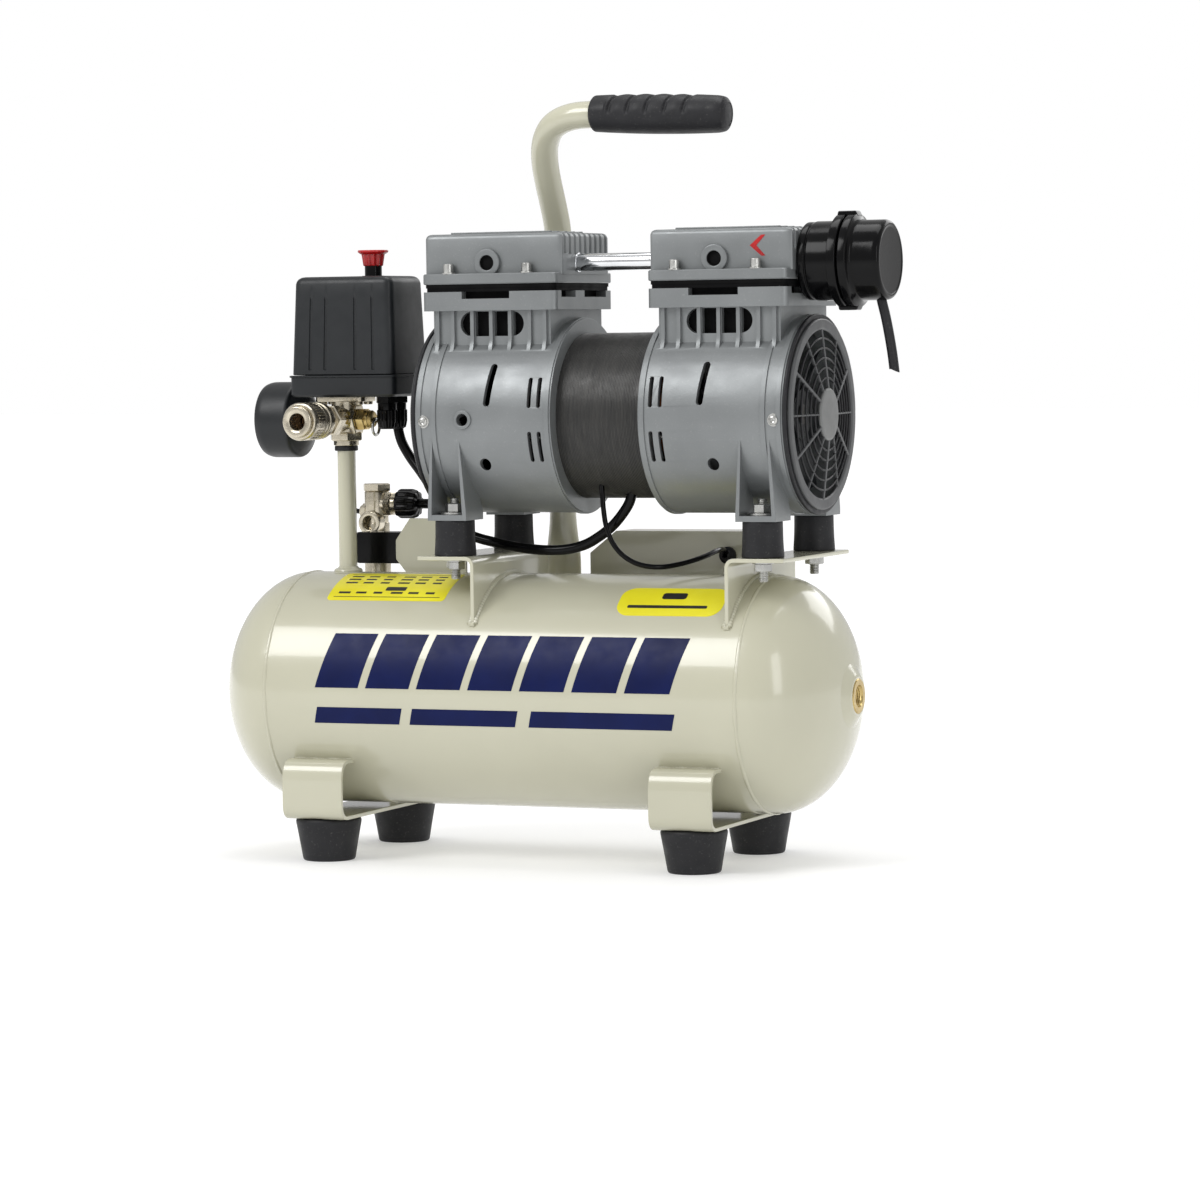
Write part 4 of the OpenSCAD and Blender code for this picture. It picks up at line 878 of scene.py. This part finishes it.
HOSE_ROUTE = [
    (-107.2, 52, 218), (-104, 52, 218), (-100.5, 52, 218), (-94, 53, 218.2), (-84, 56, 220),
    (-73, 61, 225.5), (-64, 66.5, 235), (-58, 70.5, 250), (-53, 74, 270), (-47, 77, 293),
    (-43, 79, 316), (-42, 79, 338), (-40.5, 77.5, 350), (-37, 73, 361), (-31.5, 66, 368.8),
    (-28, 59, 371.8), (-27, 54, 372.2), (-27, 51, 372.2), (-27, 48, 372.2),
]
UNLOADER_ROUTE = [
    (-148.2, 52, 213), (-151.5, 52, 213.2), (-155, 51.7, 214.8), (-158, 50.9, 218),
    (-159.8, 49.6, 222.8), (-160.3, 47.6, 229), (-159.5, 44.4, 237), (-157.1, 39.8, 246),
    (-153.8, 34, 255), (-150.6, 27.8, 264), (-148, 22.2, 273), (-146.4, 18, 281), (-146, 16, 288),
]
MOTOR_CABLE_ROUTE = [
    (-101, 9, 273), (-100.5, 9, 266), (-98, 9, 258), (-92, 8, 249), (-84, 6, 240), (-76, 4, 230),
    (-69, 1, 219), (-60, -2, 208.5), (-50, -4, 202.5), (-40, -5, 199), (-28, -7, 196.5),
    (-15, -9, 194.2), (-3, -10, 192.7), (10, -12, 192), (24, -13, 192.7), (36, -14, 195.5),
    (46, -15, 200.5), (55, -15, 207), (62, -15, 214.5), (67, -15, 222), (69, -15, 229),
]
CAPACITOR_LEAD_ROUTE = [
    (54, -28, 233), (54.5, -28, 226), (55.5, -29, 218), (57.5, -30, 208), (61.5, -30, 198),
    (68, -29, 190), (77, -26, 184.5), (88, -20, 182.5), (98, -8, 184), (105, 8, 187), (108, 24, 190),
    (107, 38, 190.5), (105, 49, 188.5), (104, 55, 186),
]


def lead(name, node, route, radius, sides):
    """A flexible lead from one part of the machine to another."""
    steps = 8
    obj = piece(name, sweep(route, radius, sides, steps), "black_plastic", node)


def make_leads():
    lead("air_hose", "delivery_hose", HOSE_ROUTE, 3.2, 24)
    lead("unloader_line", "unloader_tube", UNLOADER_ROUTE, 1.6, 16)
    lead("motor_cord", "motor_cable", MOTOR_CABLE_ROUTE, 3.2, 20)
    lead("capacitor_cord", "capacitor_lead", CAPACITOR_LEAD_ROUTE, 1.6, 16)
    grommet = turned([(1.6, -6.5), (2.6, -6), (3.4, -3.2), (5.4, -2.6), (5.4, 0.6), (1.6, 0.6)],
                     0.5, 40, loop=True)
    piece("lead_grommet", placed(grommet, (104, 56, 186), REAR), "black_rubber")


def make_rear():
    """The screws and the button of the boxes at the rear."""
    box, cover = Box("capacitor_box"), Box("overload_box")
    left, right, low, high = box.x0 + 24, box.x1 - 7, box.z0 + 12, box.z1 - 8
    screw = pan_screw(2.6)
    shapes = [placed(screw, (x, box.y1, z), REAR, 30)
              for x, z in ((box.x0 + 8, low), (right, low), (right, high), (left, high))]
    shapes += [placed(screw, (right, box.y0 + 0.2, z), FRONT, 15) for z in (low, high)]
    shapes.append(placed(screw, (cover.x0 + 6, cover.y1, cover.z0 + 5), REAR, 50))
    piece("box_screws", shapes, "zinc_steel")
    button = [rod(3.6, 0, 3, 0.6, 40), hexagon(5.6, 0, 1.6, 0.4)]
    button = placed(button, (cover.x1 - 10, cover.y1, cover.z0 + 10), REAR)
    piece("overload_button", button, "grey_plastic")


def pan_screw(radius):
    """A pan-head screw with a crossed recess, its head standing on the surface."""
    corners = [(radius * r, radius * z) for r, z in ((1, 0.35), (0.55, 0.62), (0.5, 0.3), (0, 0.12))]
    head = turned([(0, -0.6), (radius, -0.6), *corners], [0, 0.1, 0.5, 0.15, 0.1, 0], 32)
    long, short = radius * 0.62, radius * 0.12
    return [head, *[prism(rectangle(-u, u, -v, v), radius * 0.1, radius * 0.2, "z")
                    for u, v in ((long, short), (short, long))]]


# ---- Pump ----

PUMP = Box("stator").middle
HEADS = ("head_left", "head_right")


def both_ends(shape):
    """A shape of the pump and its mirror image at the pump's other end."""
    points, faces = whole(shape)
    return [(points, faces), ([Vector((2 * PUMP.x - p[0], p[1], p[2])) for p in points], faces)]


HOUSING_R = 60


def on_housing(x, angle, radius):
    """A point on a pump housing, at an angle in degrees from the front upwards."""
    a = math.radians(angle)
    return Vector((x, -radius * math.cos(a), PUMP.z + radius * math.sin(a)))


def make_housings():
    screw = [pan_screw(3), rod(3.9, -0.8, 0.1, 0.2, 40)]
    screws = []
    screw_x, eye_x = 115, 88.5
    for x in (PUMP.x - screw_x, PUMP.x + screw_x):
        for angle in (-2, 178):
            out = on_housing(0, angle, 1) - Vector((0, 0, PUMP.z))
            screws.append(placed(screw, on_housing(x, angle, HOUSING_R + 0.3), out, 35))
    piece("housing_screws", screws, "zinc_steel")
    eye = pipe(5.9, 3.7, HOUSING_R - 1.5, HOUSING_R + 1.2, 0.7)
    eyes = [placed(eye, (PUMP.x - eye_x, 0, PUMP.z - 1), way) for way in (FRONT, REAR)]
    piece("housing_eyes", eyes, "cast_aluminium")
    # Painted shade: a black ring inside each housing behind the fan guard, and black plates inside the
    # vents of the head necks, stand in for the shade seen through them.
    disc = both_ends(placed(pipe(55.5, 9, 84, 85.5), PUMP, RIGHT))
    vent_shade_plates = [prism(rectangle(x - 24, x + 24, 321, 343, 3), y, y + 1.5, "y")
               for x in (Box(node).middle.x for node in HEADS) for y in (-35.5, 34)]
    piece("painted_shade_panels", [disc, vent_shade_plates], "painted_shade_black")


def make_stator():
    box = Box("stator")
    half, outer = box.half_x, box.half_z
    line = [(27.5, -half), (outer - 0.6, -half)]
    for k in range(round(2 * half) - 1):   # one sheet for each millimetre
        z = k - half
        line += [(outer - 0.14, z + 0.02), (outer, z + 0.14), (outer, z + 0.62), (outer - 0.14, z + 0.74)]
    line += [(outer - 0.6, half), (27.5, half)]
    piece("laminated_stator", placed(lathe(line, 128, loop=True), PUMP, RIGHT), "stator_steel", "stator")


def make_guards():
    box = Box("fan_shrouds")
    face, r = box.x1 - PUMP.x, box.half_z
    shroud = turned([(r - 6, 0), (r - 0.6, 0), (r, 0.6), (r, 2), (r - 0.6, 2.5), (r - 6, 2.5)],
                    0.4, 128, loop=True)
    shroud = placed(shroud, PUMP + Vector((face - 2.5, 0, 0)), RIGHT)
    piece("shroud_rings", both_ends(shroud), "black_rubber", "fan_shrouds")
    ring_r, ring_in, hub_r = r - 3, r - 10, 16

    def height(radius):
        return 0.2 + 4 * (ring_in - radius) / (ring_in - hub_r)

    rim = [(ring_in, 0), (ring_r, 0), (ring_r, 1.4), (ring_r - 0.9, 2), (ring_in + 1.2, 2),
           (ring_in, 1.2)]
    top = height(hub_r)
    hub = [(0, top), (hub_r, top), (hub_r, top + 1.4), (hub_r - 1.4, top + 2), (0, top + 2)]
    ends = [(radius, height(radius)) for radius in (hub_r - 1, ring_in + 1)]
    frame_parts = [turned(rim, 0.4, 128, loop=True), *[bar(ends, 1, 1.6, 60 * k) for k in range(6)],
                   *[bar(ends, 0.6, 1.4, 60 * k + 30) for k in range(6)]]
    webs = [placed(torus(ring, 0.7, 96, 10), (0, 0, height(ring) + 0.8)) for ring in (22, 28, 34, 40, 46)]
    for name, finish_name, shape, node in (("guard_frames", "guard_grey", frame_parts, "fan_guards"),
                                           ("guard_hubs", "hub_grey", turned(hub, 0.5, 96), None),
                                           ("guard_webs", "black_rubber", webs, None)):
        at_right = placed(shape, PUMP + Vector((face, 0, 0)), RIGHT)
        piece(name, both_ends(at_right), finish_name, node)


def bar(ends, half_w, thick, angle):
    """A spoke between two (radius, height) ends, with its outer edges taken off."""
    section = [(-half_w, 0), (half_w, 0), (half_w, thick - 0.4), (half_w * 0.6, thick),
               (-half_w * 0.6, thick), (-half_w, thick - 0.4)]
    return placed(skin([[(r, p[0], z + p[1]) for p in section] for r, z in ends]), turn=angle)


FLANGE = 6.5


def head_box(node):
    """A cylinder head: box with side grooves, flange, boss of the front port; and the port's thread."""
    box = Box(node)
    x, flange_top, top = box.middle.x, box.z0 + FLANGE, box.z1
    half_x, half_y = box.half_x, 37
    rings = []
    for z, inset, depth in ((flange_top - 1, 0, 0), (top - 13.4, 0, 0), (top - 12.8, 0, 1.2),
                            (top - 3, 0, 1.2), (top - 1.7, 0.4, 1.2), (top - 0.7, 1.2, 1.1),
                            (top - 0.15, 2.4, 0.9), (top, 3.6, 0.6)):
        outline = box_section(half_y - inset, half_x - inset, 5, range(-32, 33, 8), depth, 1.5)
        rings.append([(x + v, u, z) for u, v in outline])
    plate = []
    for z, cut in ((box.z0, 0.5), (box.z0 + 0.6, 0), (flange_top - 0.7, 0), (flange_top, 0.5)):
        half = 45 - cut
        plate.append([(x + u, v, z) for u, v in rectangle(-half, half, -half, half, 4)])
    boss = pipe(8.5, 4.6, -0.5, 2.7, 0.7)
    thread = lathe([(5, -0.3), (5, 2)] + [(4.5 - 0.45 * (k % 2), 2 - 0.45 * k) for k in range(6)], 40,
                   loop=True)
    port = (x - 3.5, -half_y, 370), FRONT
    return [skin(rings), skin(plate), placed(boss, *port)], placed(thread, *port), port


def make_heads():
    screws, dark, ribs = [], [], []
    for node in HEADS:
        box = Box(node)
        x, low = box.middle.x, box.z0
        shape, thread, port = head_box(node)
        piece("finned_" + node, shape, "cast_aluminium", node)
        # Painted shade: the port's thread, a disc deep in the port, a black plate on the back wall of the
        # front notch under the head, and plates in the side notches.
        dark += [thread, placed(rod(4.7, -0.2, 0.35, 0.1), *port),
                 prism(rectangle(x - 18.6, x + 14.6, -38.5, -37.6), low - 9, low - 4.6, "z")]
        dark += [prism(rectangle(x + 37.4, x + 38.3, y0, y1), low - 8.6, low - 4.6, "z")
                 for y0, y1 in ((-36.5, -13.5), (-0.5, 34.5))]
        seat = low + FLANGE
        screw = [rod(2, low - 15.8, seat, 0.2, 24), rod(4.1, seat - 0.2, seat + 0.8, 0.2),
                 pipe(3.1, 1.7, seat + 0.6, seat + 6, 0.45, 40), rod(3, seat + 0.7, seat + 3.6, 0.2, 40)]
        screws += spread(screw, [(x + u, y) for u in (-28.5, 24) for y in (-41, 41)])
        ribs += [prism(rectangle(x - 34, x + 34, y - 1.3, y + 1.3, 1.2), box.z1 - 0.5, box.z1 + 1.2, "z")
                 for y in (-24, -12, 0, 12, 24)]
    piece("head_cap_screws", screws, "zinc_steel", "head_screws")
    piece("painted_shade_gaps", dark, "painted_shade_black")
    piece("head_ribs", ribs, "cast_aluminium", bevel=0.4)
    box = Box("crossover_pipe")
    length = box.x1 - box.x0
    tube = [pipe(5.4, 4.2, 0, length, 0.3)] + [pipe(6, 5.3, z, z + 1.4, 0.5) for z in (4.2, length - 5.6)]
    piece("chromed_pipe", placed(tube, (box.x0, *box.middle.yz), RIGHT), "bright_chrome",
          "crossover_pipe")
    head = Box("head_right")
    arrow = [(0, 0), (7.4, 6.3), (10, 6.3), (4.2, 0), (10, -6.3), (7.4, -6.3)]
    mark = prism([(head.middle.x + 19 + u, head.z0 + 20.3 + v) for u, v in arrow], -37.25, -36.7, "y")
    piece("flow_arrow", mark, "red_plastic")


def make_filter():
    body, cap = Box("filter_body"), Box("filter_cap")
    start = Box("head_right").x1
    r, rim = 24, body.half_z
    seam, end = body.x1 - start, cap.x1 - start
    facing = (start, *body.middle.yz), RIGHT
    line = [(0, -6), (8, -6), (8, 0.1), (r - 1.2, 0.1), (r - 0.4, 1), (r - 0.4, 4.4), (r - 1.2, 4.9),
            (r - 1.2, 5.6), (r, 6.2), (r, seam - 7.4), (r + 1, seam - 6.8), (rim, seam - 6.2),
            (rim, seam - 1.2), (rim - 0.8, seam - 0.6), (rim - 2.2, seam - 0.5), (0, seam - 0.5)]
    piece("filter_housing", placed(turned(line, 0.5, 96), *facing), "black_plastic", "filter_body")
    line = [(0, seam), (rim - 2.2, seam), (rim - 0.8, seam + 0.4), (rim, seam + 1), (rim, seam + 5.4),
            (r + 1.6, seam + 6.6), (r + 0.2, seam + 8), (r + 0.2, end - 3), (r - 0.6, end - 0.9),
            (r - 2.4, end), (r - 4, end - 0.6), (0, end - 0.6)]
    lid = turned(line, [0, 0.3, 0.4, 0.5, 0.8, 0.8, 1, 1.5, 1, 0.9, 0.5, 0], 96)
    piece("filter_lid", placed(lid, *facing), "black_plastic", "filter_cap")
    lug = prism([(rim - 2, seam - 7.4), (rim + 1.6, seam - 6.6), (rim + 1.6, seam + 4.8),
                 (rim - 2, seam + 6.4)], -4.5, 4.5, "y")
    lugs = [placed(placed(lug, turn=turn), *facing) for turn in (0, 180)]
    piece("filter_clips", lugs, "black_plastic", bevel=0.8)


SNORKEL_ROUTE = [(229, -8, 347), (230, -8, 342), (232, -8, 334), (234, -8, 324), (236, -8, 312),
                 (237.3, -8, 301.5)]


def make_snorkel():
    """A hollow tube whose lower end is cut on a slant."""
    line = frames(smooth_line(SNORKEL_ROUTE, 8), RIGHT)
    p, along, across, up = line[-1]
    line[-1] = p, along, across + along * 1.9 / 3, up
    outer, inner = [[hoop(p, across, up, r, r, 24) for p, _, across, up in line] for r in (3, 2.3)]
    piece("slanted_snorkel", skin([*outer, *inner[-1:-20:-1]]), "black_rubber", "intake_snorkel")


def keep_nodes():
    """The CAD nodes whose shape stays get their finish."""
    keep("cream_paint", "tank_barrel", "tank_ends", "standpipe")
    keep("cream_paint", "capacitor_box", bevel=0.8)
    keep("cream_paint", "rear_bracket", bevel=0.5)
    keep("black_plastic", "overload_box", bevel=1)
    keep("cast_aluminium", "housing_left", "housing_right", "cylinders", bevel=0.5)
    keep("cast_aluminium", "piston_left", "piston_right")
    # Painted shade: the gaskets and valve plates take the flat black that makes the band under each head
    # read as a shaded gap.
    keep("painted_shade_black", "head_gaskets", "valve_plates")
    keep("print_black", "gauge_needle")
    keep("clear_lens", "gauge_lens")
    keep("zinc_steel", "safety_valve_ring", "capacitor", "tie_bolts")
    keep("grey_plastic", "switch_mechanism")
    keep("copper_winding", "stator_winding")
    keep("bright_chrome", "shaft_bearings")
    keep("rotor_steel", "rotor_shaft", "rotor_core", "eccentrics")
    keep("charcoal_plastic", "cooling_fans")


# ---- Floor, light and camera ----

def plain(name, colour, rough, near, far):
    """A pale surface that glows a little more the farther it is from the middle."""
    n = Nodes(name)
    away = n.add("ShaderNodeVectorMath")
    away.operation = "LENGTH"
    n.put(away.inputs[0], n.place)
    n.look(Base_Color=n.mixed(n.ranged(n.noise(1.2, 2), 0, 1), linear(colour),
                              linear([c - 2 for c in colour])),
           Roughness=rough, Emission_Color=(1, 1, 1, 1),
           Emission_Strength=n.ranged(away.outputs[1], near, far, 0.4, 2.2))
    return n.material


def make_floor():
    mesh = bpy.data.meshes.new("floor")
    mesh.from_pydata([(*p, 0) for p in rectangle(-14, 14, -14, 14)], [], [(0, 1, 2, 3)])
    floor = in_scene("floor", mesh)
    mesh.materials.append(plain("pale_floor", (222, 222, 222), 0.6, 0.3, 0.62))


AIM = Vector((0, 0, 0.2))   # where the lamps point


def area_light(name, at, size, power):
    light = bpy.data.lights.new(name, "AREA")
    light.shape = "RECTANGLE"
    light.size, light.size_y = size
    light.energy = power
    obj = in_scene(name, light)
    obj.location = at
    obj.rotation_euler = (AIM - Vector(at)).to_track_quat("-Z", "Y").to_euler()


def make_light():
    world = bpy.data.worlds.new("studio")
    world.use_nodes = True
    tree = world.node_tree
    back = tree.nodes["Background"]
    back.inputs["Color"].default_value = (1, 1, 1, 1)
    path = tree.nodes.new("ShaderNodeLightPath")
    amount = tree.nodes.new("ShaderNodeMapRange")
    amount.inputs["To Min"].default_value = 0.6   # the world's light on the object
    tree.links.new(path.outputs["Is Camera Ray"], amount.inputs["Value"])
    tree.links.new(amount.outputs[0], back.inputs["Strength"])
    bpy.context.scene.world = world
    area_light("key", (-1.1, -1.7, 1.9), (1.2, 1.2), 32)
    area_light("fill", (1.9, -1.2, 0.9), (0.5, 1.4), 7)
    area_light("top", (0.1, 0.3, 2.2), (1.6, 1.0), 16)
    area_light("rim", (0.6, 1.9, 1.2), (1.4, 0.8), 9)
    bpy.context.scene.view_settings.view_transform = "Standard"


def make_camera():
    camera = bpy.data.cameras.new("camera")
    camera.sensor_width = 36
    camera.lens = 137.1
    camera.clip_end = 100
    obj = in_scene("camera", camera)
    place, target = Vector((1.1257, -2.6089, 0.3286)), Vector((0.02305, -0.003, 0.16064))
    level = (target - place).to_track_quat("-Z", "Y")
    roll = Matrix.Rotation(math.radians(-0.79), 3, "Z").to_quaternion()
    obj.location = place
    obj.rotation_euler = (level @ roll).to_euler()
    bpy.context.scene.camera = obj


for make in (make_camera, make_tank, make_labels, make_feet, make_hardware, make_brackets, make_handle,
            make_switch, make_manifold, make_gauge, make_coupler, make_safety_valve, make_check_valve,
            make_leads, make_rear, make_housings, make_stator, make_guards, make_heads, make_filter,
            make_snorkel, keep_nodes, make_floor, make_light):
    make()
